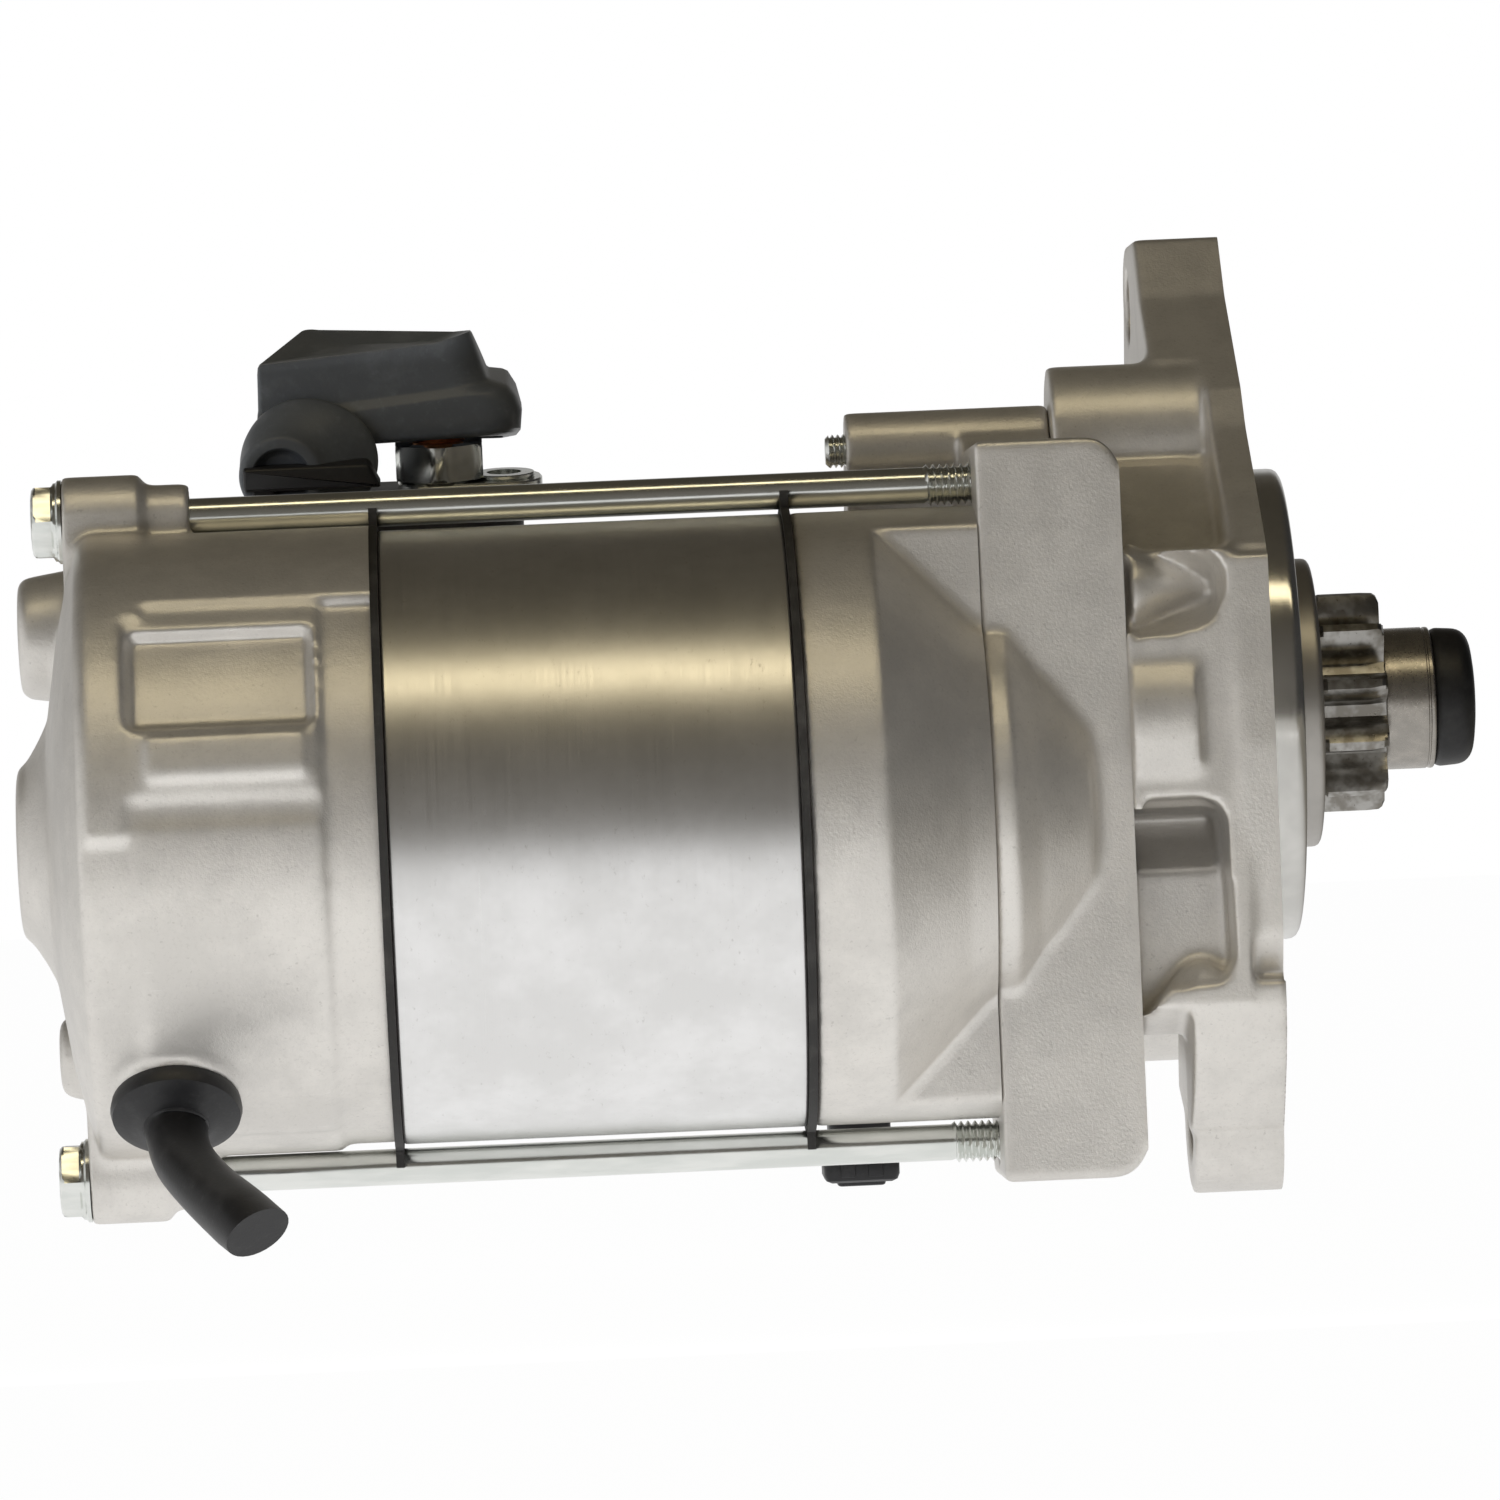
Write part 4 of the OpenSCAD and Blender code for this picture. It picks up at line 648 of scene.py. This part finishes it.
def thread_rings(x0, x1, diameter, pitch, centre):
    """Rings that follow a screw thread's crest and root."""
    depth = 0.6 * pitch
    rings = []
    count = int((x1 - x0) / pitch * PER_PITCH)
    for i in range(count + 1):
        x = x0 + (x1 - x0) * i / count

        def radius(angle, x=x):
            phase = (x / pitch - angle / (2 * math.pi)) % 1
            return diameter / 2 - depth * min(1, max(0, 1.25 * abs(2 * phase - 1) - 0.1))
        rings.append(circle_at(x, radius, centre))
    return rings


def hex_head(x0, x1, across, flange, centre, steps=ROUND):
    """Rings of a flanged head from its domed end at x0 to its seat at x1; x1 may lie on either side."""
    way = 1 if x1 > x0 else -1
    height = abs(x1 - x0)
    rim = 1.0
    levels = [(0.0, across * 0.40), (0.12, across * 0.47), (0.45, across * 0.53), (0.8, NO_LIMIT),
              (height - rim - 0.5, NO_LIMIT)]
    rings = [circle_at(x0 + way * h, hexagon(across, limit), centre, steps) for h, limit in levels]
    rings += [circle_at(x0 + way * (height - h), r, centre, steps)
              for h, r in ((rim + 0.15, across * 0.56), (rim - 0.2, flange - 0.35), (rim - 0.5, flange), (0, flange))]
    return rings


def through_bolt(side_z):
    """One long bolt, above or below the motor; its thread shows where it enters the gear case."""
    centre = (MOTOR[0], MOTOR[1] + side_z * BOLT_OFFSET)
    head, tip = BOLT_X
    seat = head + 4.4
    shank_r, thread_d = 2.6, 6.0
    thread_start = BLOCK_X - 6.2
    rings = hex_head(head, seat, 10, 6.0, centre)
    rings += [circle_at(x, shank_r, centre) for x in (seat + 0.05, thread_start - 0.5)]
    rings += thread_rings(thread_start, BLOCK_X + 0.4, thread_d, 1.0, centre)
    rings += [circle_at(x, r, centre) for x, r in ((BLOCK_X + 0.5, 2.95), (tip - 0.6, 2.95), (tip, 2.4))]
    return loft(rings)


def build_fasteners():
    zinc_plate = FINISHES["bright_zinc"]
    new_piece("through_bolts_threaded", *join(through_bolt(1), through_bolt(-1)), zinc_plate, ("through_bolts",),
              crease=32)
    heads = []
    for x0, x1, centre in islands("cover_screws"):
        rings = hex_head(x0, x0 + 3, 6.4, 3.9, centre, steps=48)
        rings += [circle_at(x0 + 3.05, 2, centre, 48), circle_at(x1, 2, centre, 48)]
        heads.append(loft(rings))
    new_piece("cover_screws_flanged", *join(*heads), zinc_plate, ("cover_screws",), crease=32)
    heads = [socket_screw(*place) for place in islands("housing_screws")]
    new_piece("housing_screws_socket", *join(*heads), zinc_plate, ("housing_screws",), crease=32)
    x0, x1 = span("dowel_pin", 0)
    centre = (middle_of("dowel_pin", 1), middle_of("dowel_pin", 2))
    radius = half_of("dowel_pin", 1)
    pin = lathe([(x0, 0, 0), (x0, radius, 0.4), (x1, radius, 1.1), (x1, 0, 0)], centre, steps=48)
    new_piece("dowel_pin_chamfered", *pin, FINISHES["bright_steel"], ("dowel_pin",))


def islands(node):
    """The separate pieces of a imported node: first x, last x and centre of each."""
    work = bmesh.new()
    work.from_mesh(nodes[node].data)
    bmesh.ops.remove_doubles(work, verts=work.verts, dist=WELD)
    left, found = set(work.verts), []
    while left:
        group, edge = set(), [left.pop()]
        while edge:
            vert = edge.pop()
            group.add(vert)
            for link in vert.link_edges:
                other = link.other_vert(vert)
                if other in left:
                    left.discard(other)
                    edge.append(other)
        place = np.array([v.co for v in group]) / MM
        low, high = place.min(0), place.max(0)
        found.append((low[0], high[0], ((low[1] + high[1]) / 2, (low[2] + high[2]) / 2)))
    work.free()
    return sorted(found, key=lambda item: item[2])


def socket_screw(x0, x1, centre):
    """A socket head at x1 facing forwards, its thread running back to x0."""
    rings = [circle_at(x0, 1.9, centre), circle_at(x0 + 0.5, 2.4, centre)]
    rings += thread_rings(x0 + 0.6, x0 + 6.6, 4.95, 0.8, centre)
    rings += [circle_at(x, r, centre) for x, r in
              ((x0 + 7, 2.45), (x1 - 5, 2.45), (x1 - 5, 4.0), (x1 - 4.8, 4.2), (x1 - 0.5, 4.2), (x1 - 0.1, 3.9),
               (x1, 3.5), (x1, hexagon(4.3)), (x1 - 0.35, hexagon(4.0)), (x1 - 2.5, hexagon(4.0)), (x1 - 3.2, 0.1))]
    return loft(rings)


# Smooth tubes along a curve
def smooth_path(points):
    """A Catmull-Rom curve through points whose last entry is the radius."""
    rows = [Vector(p) for p in points]
    rows = [rows[0] * 2 - rows[1], *rows, rows[-1] * 2 - rows[-2]]
    out, bits = [], 6
    for i in range(1, len(rows) - 2):
        a, b, c, d = rows[i - 1:i + 3]
        for k in range(bits):
            t = k / bits
            out.append(0.5 * ((2 * b) + (c - a) * t + (2 * a - 5 * b + 4 * c - d) * t * t
                              + (3 * b - a - 3 * c + d) * t ** 3))
    out.append(rows[-2])
    return [(v.xyz, v.w) for v in out]


def sweep(path, steps=32, shape=None):
    """Rings square to a path of (point, radius), turned as little as possible from one to the next."""
    rings, across = [], Vector((1, 0, 0))
    last = len(path) - 1
    for i, (point, radius) in enumerate(path):
        ahead = (path[min(i + 1, last)][0] - path[max(i - 1, 0)][0]).normalized()
        across = (across - ahead * across.dot(ahead)).normalized()
        up = ahead.cross(across)
        ring = []
        for k in range(steps):
            angle = 2 * math.pi * k / steps
            u, v = math.cos(angle) * radius, math.sin(angle) * radius
            if shape:
                u, v, slip = shape(i / last, u, v)
                ring.append(tuple(point + across * u + up * v + ahead * slip))
            else:
                ring.append(tuple(point + across * u + up * v))
        rings.append(ring)
    return loft(rings)


def build_drain_tube():
    """A flanged elbow that leaves the end frame low down and points forwards and down, its mouth pressed flat."""
    angle = math.radians(232)
    out = Vector((0, math.cos(angle), math.sin(angle)))
    base = Vector((DRAIN_X, MOTOR[0], MOTOR[1]))
    flange = [(42.6, 4.0), (45.2, 4.0), (45.4, 9.1), (46.6, 9.3), (47.8, 9.0), (48.5, 7.4), (48.9, 5.6), (49.4, 4.9)]
    side = out.cross(Vector((1, 0, 0)))
    rings = []
    for reach, radius in flange:
        rings.append([tuple(base + out * reach + Vector((1, 0, 0)) * radius * math.cos(2 * math.pi * k / 48)
                            + side * radius * math.sin(2 * math.pi * k / 48)) for k in range(48)])
    route = [(*(base + out * 48), 4.9), (*(base + out * 51), 4.4), (*(base + Vector((1.2, -37.8, -43.6))), 4.3),
             (*(base + Vector((4.4, -45.4, -47.2))), 4.3), (*(base + Vector((8.2, -52.4, -50.4))), 4.6),
             (*(base + Vector((11.4, -57.9, -53.0))), 4.8)]

    def mouth(t, u, v):
        press = max(0.0, (t - 0.86) / 0.14)
        return u, v * (1 - 0.12 * press), press * v * 0.35
    tube = sweep(smooth_path(route), shape=mouth)
    new_piece("drain_elbow", *join(loft(rings), tube), FINISHES["black_rubber"], ("drain_tube",), crease=50)


# Pinion, collar and cap
def tooth_outline(x, turn_share, limit):
    """One ring of the pinion: teeth with involute flanks; turn_share takes metal off one flank."""
    pressure = math.radians(20)
    pitch_r, root_r = MODULE * TEETH / 2, MODULE * (TEETH / 2 - 1.1)
    base = pitch_r * math.cos(pressure)
    involute = math.tan(pressure) - pressure
    ring = []
    for tooth in range(TEETH):
        middle = 2 * math.pi * tooth / TEETH + math.radians(90 / TEETH)
        flank = []
        for k in range(9):
            r = root_r + (TIP_R - root_r) * (k / 8) ** 0.85
            a = math.acos(min(1, base / max(r, base)))
            half = math.pi / 2 / TEETH + involute - (math.tan(a) - a)
            flare = 0.05 * max(0, 1 - k / 2) ** 2
            flank.append((min(r, limit), half + flare))
        low = [(r, middle - half) for r, half in flank]
        high = [(r, middle + half * (1 - turn_share * (0.15 + 0.85 * i / 8))) for i, (r, half) in enumerate(flank)]
        for r, a in low + high[::-1]:
            ring.append((x, r * math.cos(a), r * math.sin(a)))
    return ring


def build_pinion():
    """The teeth, chamfered on their driving side, the stop collar and the end cap."""
    x0, x1 = PINION_X
    levels = [(x0, 0, TIP_R - 0.7), (x0 + 0.7, 0, TIP_R), (x1 - 2.6, 0, TIP_R), (x1 - 0.9, 0.42, TIP_R - 0.1),
              (x1 - 0.35, 0.55, TIP_R - 0.5), (x1, 0.62, TIP_R - 1.3)]
    new_piece("pinion_teeth", *loft([tooth_outline(*level) for level in levels]), FINISHES["gear_steel"],
              ("pinion",), body="pinion", crease=30)
    x0, x1 = COLLAR_X
    radius, bore_r = half_of("pinion_collar", 2), 7.4
    collar = lathe([(x0, bore_r, 0), (x0, radius - 0.1, 0.3), (x0 + 1.0, radius, 0.2), (x1 - 1.2, radius, 0.1),
                    (x1 - 1.1, radius - 0.15, 0), (x1 - 0.9, radius - 0.15, 0), (x1 - 0.8, radius, 0.1),
                    (x1, radius, 0.7), (x1, bore_r, 0)], hollow=True)
    new_piece("stop_collar", *collar, FINISHES["dark_steel"], ("pinion_collar",), body="pinion")
    x0, x1 = CAP_X
    radius = half_of("shaft_end_cap", 2)
    cap = lathe([(x0, 0, 0), (x0, radius - 0.4, 0.4), (x0 + 0.9, radius, 0.4), (x1 - 1.8, radius - 0.25, 1.2),
                 (x1 - 0.5, radius - 1.6, 1.0), (x1, 5.5, 0.8), (x1 - 0.6, 4.6, 0.4), (x1 - 0.6, 0, 0)])
    new_piece("shaft_cap_moulding", *cap, FINISHES["black_rubber"], ("shaft_end_cap",), body="pinion", crease=50)


# Terminals, drawn upright on the switch axis and then leant towards the motor
def leant(point):
    x, y, z = point
    c, s = math.cos(TERMINAL_LEAN), math.sin(TERMINAL_LEAN)
    return x, y * c - z * s, y * s + z * c


def leaning(part):
    points, faces = part
    return [leant(p) for p in points], faces


def slab(corners, levels, place):
    """An outline stacked at levels of (height, inset); place turns (u, v, height) into a point."""
    outline = soften(corners, 5)
    count = len(outline)
    centre = sum(outline, Vector((0, 0))) / count
    rings = []
    for height, inset in levels:
        ring = []
        for i, p in enumerate(outline):
            along = outline[(i + 1) % count] - outline[i - 1]
            normal = Vector((along.y, -along.x)).normalized()
            if normal.dot(p - centre) < 0:
                normal.negate()
            q = p - normal * inset
            ring.append(place(q.x, q.y, height))
        rings.append(ring)
    return loft(rings)


def upright(u, v, h):
    """An outline in X and Y, stacked along Z."""
    return u, v, h


def sideways(u, v, h):
    """An outline in X and Z, stacked along -Y."""
    return u, -h, v


def rounded_box(x, y, z, cut=1.0, edge=0.5):
    """A box with rounded upright corners and soft top and bottom edges."""
    corners = [(x[0], y[0], cut), (x[1], y[0], cut), (x[1], y[1], cut), (x[0], y[1], cut)]
    levels = [(z[0], edge), (z[0] + edge * 0.3, edge * 0.3), (z[0] + edge, 0), (z[1] - edge, 0),
              (z[1] - edge * 0.3, edge * 0.3), (z[1], edge)]
    return slab(corners, levels, upright)


def hood_ring(left, right, near, far, heights, cuts=(1.0, 6.0, 3.5, 3.0), inset=0.0, dish=0.0, wave=0.0):
    """A four-cornered ring of the hood.

    left gives the near and far X of that side, heights the corners from near left round, and wave how much the
    two long edges swell and sink.
    """
    corners = [(left[0] + inset, near + inset, cuts[0]), (right - inset, near + inset, cuts[1]),
               (right - inset, far - inset, cuts[2]), (left[1] + inset, far - inset, cuts[3])]
    ring = []
    for p in soften(corners, 8):
        v = (p.y - near) / (far - near)
        edge = left[0] + (left[1] - left[0]) * v
        u = (p.x - edge) / (right - edge)
        height = (heights[0] * (1 - u) + heights[1] * u) * (1 - v) + (heights[3] * (1 - u) + heights[2] * u) * v
        swell = 0.7 * math.sin(2 * math.pi * u) - 0.5 * math.sin(math.pi * u)
        height += wave * (swell * (1 - v) - 0.9 * math.sin(math.pi * u) * v)
        ring.append((p.x, p.y, height - dish))
    return ring


def build_battery_boot():
    """A hood with a twisted, dished top, a ledge and a skirt, cut away on the near side to clear the nut."""
    near, far = -8.4, 14.0
    # X of the left side near and far, X of the right side, insets near and far, heights of the corners
    skirt = [((-143.7, -142.0), -105.5, (0.3, 0.3), (46.4, 47.6, 43.8, 45.0)),
             ((-144.0, -142.3), -104.8, (0.0, 0.0), (46.9, 48.2, 44.6, 45.8)),
             ((-144.2, -142.4), -104.5, (0.0, 0.0), (48.4, 50.4, 49.0, 48.2)),
             ((-144.2, -142.3), -105.2, (0.0, 0.0), (49.2, 52.2, 52.2, 49.6)),
             ((-144.1, -142.2), -106.3, (0.1, 0.1), (49.9, 53.6, 54.2, 50.2)),
             ((-144.1, -142.1), -106.9, (0.3, 0.3), (50.3, 54.0, 54.5, 50.6)),
             ((-144.0, -141.8), -109.0, (1.3, 1.2), (51.5, 54.7, 54.9, 51.7)),
             ((-143.9, -141.7), -109.5, (1.5, 1.4), (52.0, 55.2, 55.3, 52.2)),
             ((-143.9, -140.0), -110.3, (1.5, 1.6), (54.6, 58.0, 57.4, 56.0)),
             ((-143.9, -137.6), -111.2, (1.3, 1.4), (57.4, 61.3, 59.4, 60.2)),
             ((-143.8, -136.8), -111.5, (1.2, 1.2), (58.4, 62.4, 60.0, 61.4))]
    rings = [hood_ring(left, right, near + inset[0], far - inset[1], heights, inset=2.0, dish=0.4)
             for left, right, inset, heights in reversed(skirt[:-1])]
    waves = (0, 0, 0, 0, 0, 0, 0, 0.1, 0.5, 0.9, 1.0)
    rings += [hood_ring(left, right, near + inset[0], far - inset[1], heights, wave=wave)
              for (left, right, inset, heights), wave in zip(skirt, waves)]
    left, right, inset, heights = skirt[-1]
    heights = tuple(h + 0.4 for h in heights)
    for sink, dish in ((0.25, 0.05), (0.7, 0.1), (2.5, 0.5), (5.0, 1.0), (8.0, 1.3)):
        rings.append(hood_ring(left, right, near + inset[0], far - inset[1], heights, inset=sink, dish=dish,
                               cuts=(1.0, max(0.8, 5.6 - sink), 2.5, 2.0), wave=1.0))
    new_piece("battery_boot_hood", *leaning(loft(rings)), FINISHES["grey_rubber"], ("battery_boot",), crease=42)


def build_switch_terminal():
    """A flat moulded bar with its leg and a shelf, and a small hood over the blade behind it."""
    near, far = -17.0, -8.9
    rings = []
    # Depth, radius, drift towards the battery stud
    hood = [(near - 0.1, 5.2, 0.0), (near, 5.9, 0.0), (near + 0.5, 6.3, 0.0), (near + 1.6, 6.6, 0.3),
            (near + 3.6, 7.8, 1.6), (near + 5.6, 9.1, 2.9), (far - 0.8, 9.7, 3.6), (far, 9.3, 3.9)]
    recess = [(near - 0.1, 4.4, 0.0), (near + 0.3, 4.1, 0.0), (near + 2.4, 3.9, 0.2)]
    for y, r, drift in [*reversed(recess), *hood]:
        ring = []
        for k in range(56):
            t = 2 * math.pi * k / 56
            u, v = math.cos(t), math.sin(t)
            v = max(v, -0.55)
            ring.append((-140.6 + drift + r * u * (1 + 0.04 * drift * (u > 0)), y, 43.4 + drift * 0.35 + r * v))
        rings.append(ring)
    made = new_piece("switch_boot_hood", *leaning(loft(rings)), FINISHES["grey_rubber"], ("switch_boot",),
                     crease=50)
    smooth = made.modifiers.new("smooth", "SUBSURF")
    smooth.levels = smooth.render_levels = 1
    bar_z = (24.1 + 18.4 * math.sin(TERMINAL_LEAN)) / math.cos(TERMINAL_LEAN) + 13.8
    bar = slab([(-146.2, bar_z, 0.5), (-125.8, bar_z, 0.6), (-127.6, bar_z + 3.6, 0.8),
                (-146.2, bar_z + 3.6, 0.6)], [(12.0, 0.3), (12.3, 0), (18.0, 0), (18.4, 0.15), (18.6, 0.5)], sideways)
    leg = rounded_box((-145.0, -141.6), (-18.0, -15.0), (bar_z - 7, bar_z + 0.2), 0.6, 0.3)
    shelf = rounded_box((-144.6, -129.0), (-17.0, -9.2), (36.4, 38.8), 0.8, 0.4)
    new_piece("switch_terminal_bar", *leaning(join(bar, leg, shelf)), FINISHES["black_plastic"],
              ("switch_terminal",), crease=40)


def upright_ring(radius, z, centre):
    """A ring round an axis along Z; radius is a number or follows the angle."""
    ring = []
    for k in range(ROUND):
        angle = 2 * math.pi * k / ROUND
        r = radius(angle) if callable(radius) else radius
        ring.append((centre[0] + r * math.cos(angle), centre[1] + r * math.sin(angle), z))
    return ring


def stud(z0, z1, centre):
    """An M8 threaded stud along Z."""
    diameter, pitch = 8, 1.25
    rings, depth = [], 0.55 * pitch
    count = int((z1 - z0) / pitch * PER_PITCH)
    for i in range(count + 1):
        z = z0 + (z1 - z0) * i / count
        fade = min(1, (z1 - z) / 0.9)

        def radius(angle, z=z, fade=fade):
            phase = (z / pitch - angle / (2 * math.pi)) % 1
            return (diameter / 2 - depth * min(1, max(0, 1.25 * abs(2 * phase - 1) - 0.1))) * (0.86 + 0.14 * fade)
        rings.append(upright_ring(radius, z, centre))
    return rings


def nut(z0, centre, turn=0.0):
    """An M8 hexagon nut standing on z0, with turned-down corners."""
    across, bore, z1 = 13, 3.9, z0 + 6
    lift = 0.14 * across / 2
    rings = [upright_ring(bore, z0 + 0.3, centre), upright_ring(bore + 0.3, z0, centre)]
    for z, limit in ((z0, across * 0.47), (z0 + lift * 0.4, across * 0.54), (z0 + lift, NO_LIMIT),
                     (z1 - lift, NO_LIMIT), (z1 - lift * 0.4, across * 0.54), (z1, across * 0.47)):
        rings.append(upright_ring(hexagon(across, limit, turn), z, centre))
    rings += [upright_ring(bore + 0.3, z1, centre), upright_ring(bore, z1 - 0.3, centre)]
    return loft(rings, round_trip=True)


def washer(r_in, r_out, z0, z1, centre):
    """A flat ring with broken edges."""
    edge = 0.15
    corners = ((r_in, z0), (r_out - edge, z0), (r_out, z0 + edge), (r_out, z1 - edge), (r_out - edge, z1), (r_in, z1))
    return loft([upright_ring(r, z, centre) for r, z in corners], round_trip=True)


def flipped(part):
    """The part turned over, for the motor terminal underneath."""
    points, faces = part
    return [(x, -y, -z) for x, y, z in points], faces


def build_terminals():
    """Both studs, the eyelet with its pressed cup, the nuts, the moulding that holds them and the yoke gaskets."""
    copper, zinc_plate = FINISHES["copper"], FINISHES["bright_zinc"]
    axis = (STUD_X, 0)
    battery = leaning(loft(stud(12, 55.6, axis)))
    foot = rounded_box((-121.2, -114.2), (-6, 6), (11, 16), 0.5, 0.4)
    new_piece("battery_stud_threaded", *join(battery, leaning(foot)), copper, ("battery_stud",), crease=35)
    lower = flipped(join(loft(stud(12, 37.9, axis)), foot))
    bush = flipped(loft([upright_ring(r, z, axis) for r, z in
                         ((6, 18), (6, 26.2), (5.8, 27.3), (5.4, 27.5), (4.05, 27.5))]))
    made = new_piece("motor_stud_threaded", *join(lower, bush), copper, ("motor_stud",), crease=35)
    made.data.materials.append(FINISHES["black_plastic"])
    for face in list(made.data.polygons)[len(lower[1]):]:
        face.material_index = 1
    eyelet = leaning(slab([(-123.5, -6.3, 5.2), (-101.9, -6.3, 5.6), (-101.9, 6.3, 5.6), (-123.5, 6.3, 5.2)],
                          [(BASE_TOP, 0.25), (BASE_TOP + 0.25, 0), (BASE_TOP + 1.25, 0), (BASE_TOP + 1.5, 0.25)],
                          upright))
    cup = leaning(washer(2.6, 4.6, BASE_TOP + 1.5, BASE_TOP + 2.2, (-107.6, 0)))
    top_nut = leaning(nut(BASE_TOP + 1.5, axis, turn=math.radians(30)))
    low_nut = flipped(nut(COLLAR_TOP + 1.5, axis))
    new_piece("terminal_nuts_and_eyelet", *join(eyelet, cup, top_nut, low_nut), zinc_plate, ("terminal_nuts",),
              crease=32)
    casting("terminal_moulding", "terminal_base", FINISHES["black_plastic"], grain=0.5)
    new_piece("gasket_pair", *copy_of("yoke_gaskets"), FINISHES["gasket"], ("yoke_gaskets",), crease=30)


def build_lead():
    """The lead from the switch to the motor: an eyelet, its crimp and the sheathed cable into the end frame."""
    angle = math.radians(-40)
    hole = [(RIM_X - 12.6, MOTOR[0] + r * math.cos(angle), MOTOR[1] + r * math.sin(angle))
            for r in (51, 48, 45, 42)]
    drop = -COLLAR_TOP - 0.75
    route = [(STUD_X, -6.4, drop, 2.1), (STUD_X, -8.4, drop, 2.3), (STUD_X - 1.2, -11.6, drop - 1.4, 2.8),
             (STUD_X - 4, -15.2, drop - 3.6, 2.8), (STUD_X - 9, -20, drop - 7, 2.8),
             (STUD_X - 18, -26, drop - 13, 2.8), *((*point, 2.8) for point in hole)]
    cable = sweep(smooth_path(route), steps=28)
    ring = flipped(washer(4.05, 7.0, COLLAR_TOP + 0.02, COLLAR_TOP + 1.48, (STUD_X, 0)))
    new_piece("motor_lead_cable", *join(cable, ring), FINISHES["black_plastic"], ("motor_lead",), crease=45)


def build_drain_plug():
    """A moulded plug: a body, a rounded foot, two small ribs on its near side and a flat underneath."""
    (x0, x1), (y0, y1), (z0, z1) = (span("drain_plug", axis) for axis in range(3))
    body = rounded_box((x0 + 1, x1 - 1), (y0 + 1, y1 - 1), (z0 + 2.4, z1), 2.0, 0.4)
    foot = rounded_box((x0, x1), (y0 + 0.3, y1 - 0.3), (z0 + 0.6, z0 + 4.4), 1.6, 1.1)
    ribs = [rounded_box((x, x + 2.2), (y0, y0 + 2), (z0 + 1.4, z0 + 3.4), 0.3, 0.2) for x in (x0 + 2.4, x1 - 4.6)]
    ends = rounded_box((x0 + 2, x1 - 2), (y0 + 3, y1 - 3), (z0, z0 + 2), 1.0, 0.4)
    new_piece("drain_plug_moulding", *join(body, foot, ends, *ribs), FINISHES["black_rubber"], ("drain_plug",),
              crease=40)


build_castings()
build_yoke()
build_fasteners()
build_drain_tube()
build_pinion()
build_battery_boot()
build_switch_terminal()
build_terminals()
build_lead()
build_drain_plug()


# Floor, light and surroundings
floor_z = cad_box[0][2] - 0.002
west, east, front, rear = -2.4, 1.4, -0.62, 3.0
floor_mesh = bpy.data.meshes.new("floor")
floor_mesh.from_pydata([(west, front, floor_z), (east, front, floor_z), (east, rear, floor_z),
                        (west, rear, floor_z)], [], [(0, 1, 2, 3)])
floor = bpy.data.objects.new("floor", floor_mesh)
scene.collection.objects.link(floor)


def floor_paint():
    """Pale paper that keeps the shadow. It glows for light bounced on to the motor, and that glow fades well to the
    right of the motor: painted shade that keeps the motor's right-facing sides dark.
    """
    p = Paint("floor")
    seen, glossy, through = (p.node("ShaderNodeLightPath", out=f"Is {kind} Ray")
                             for kind in ("Camera", "Glossy", "Transmission"))
    matt = p.node("ShaderNodeBsdfDiffuse", {}, {"Color": (0.86, 0.86, 0.86)})
    glow = p.node("ShaderNodeEmission", {}, {"Color": (1, 1, 1), "Strength": 1.0})
    # painted shade: the floor's glow dims towards the right, so the motor's right-facing sides are lit less
    right_glow_fade = p.split(p.point())[0].over(-30, 200)
    share = (seen * 0.985).most(glossy.most(through) * (0.92 - right_glow_fade * 0.86)).most(0.6 - right_glow_fade * 0.54)
    p.node("ShaderNodeOutputMaterial", {}, {0: p.node("ShaderNodeMixShader", {}, {0: share, 1: matt, 2: glow})})
    return p.data


floor_mesh.materials.append(floor_paint())


def surroundings():
    """A dim room: pale below, bright to the left, soft behind, darker to the right."""
    world = bpy.data.worlds.new("surroundings")
    scene.world = world
    p = Paint("", world)
    direction = p.node("ShaderNodeTexCoord", out="Generated")
    x, y, z = p.split(direction)
    seen = p.node("ShaderNodeLightPath", out="Is Camera Ray")
    below = (1 - z.over(-0.40, -0.15)) * (1 - x.over(0.1, 0.7) * 0.8)
    left = (0 - x).over(0.55, 1.0) * (1 - z.over(0.2, 0.7))
    room = p.mix(z.over(0.1, 0.8), (0.15, 0.14, 0.125), (0.055, 0.048, 0.036))
    room = p.mix(x.over(0.1, 0.7) * 0.9, room, (0.03, 0.03, 0.032))
    back = y.over(0.72, 0.96) * (1 - z.over(0.25, 0.5))
    room = p.mix((below + left * 0.75 + back * 0.5).clip(), room, (0.93, 0.93, 0.93))
    colour = p.mix(seen, room, (1.0, 1.0, 1.0))
    light = p.node("ShaderNodeBackground", {}, {0: colour, 1: 1.0})
    p.node("ShaderNodeOutputWorld", {}, {0: light})


surroundings()


def lamp(name, place, aim, size, power, colour=(1, 1, 1), mirrored=True):
    """A soft rectangle of light; mirrored says whether metal shows it."""
    data = bpy.data.lights.new(name, "AREA")
    data.shape = "RECTANGLE"
    data.size, data.size_y = size
    data.energy = power
    data.color = colour
    made = bpy.data.objects.new(name, data)
    scene.collection.objects.link(made)
    made.location = place
    made.visible_glossy = mirrored
    made.rotation_mode = "QUATERNION"
    made.rotation_quaternion = (Vector(place) - Vector(aim)).to_track_quat("Z", "Y")


CENTRE = (-0.07, -0.05, -0.01)
lamp("key", (-0.1, -0.80, 1.20), CENTRE, (1.8, 0.22), 3.4, (1.0, 0.86, 0.56))
lamp("front", (-1.5, -1.35, 0.30), CENTRE, (1.0, 0.6), 5.0, mirrored=False)
lamp("low", (-0.08, -0.30, -0.081), (-0.08, -0.11, -0.02), (0.5, 0.06), 0.8, mirrored=False)
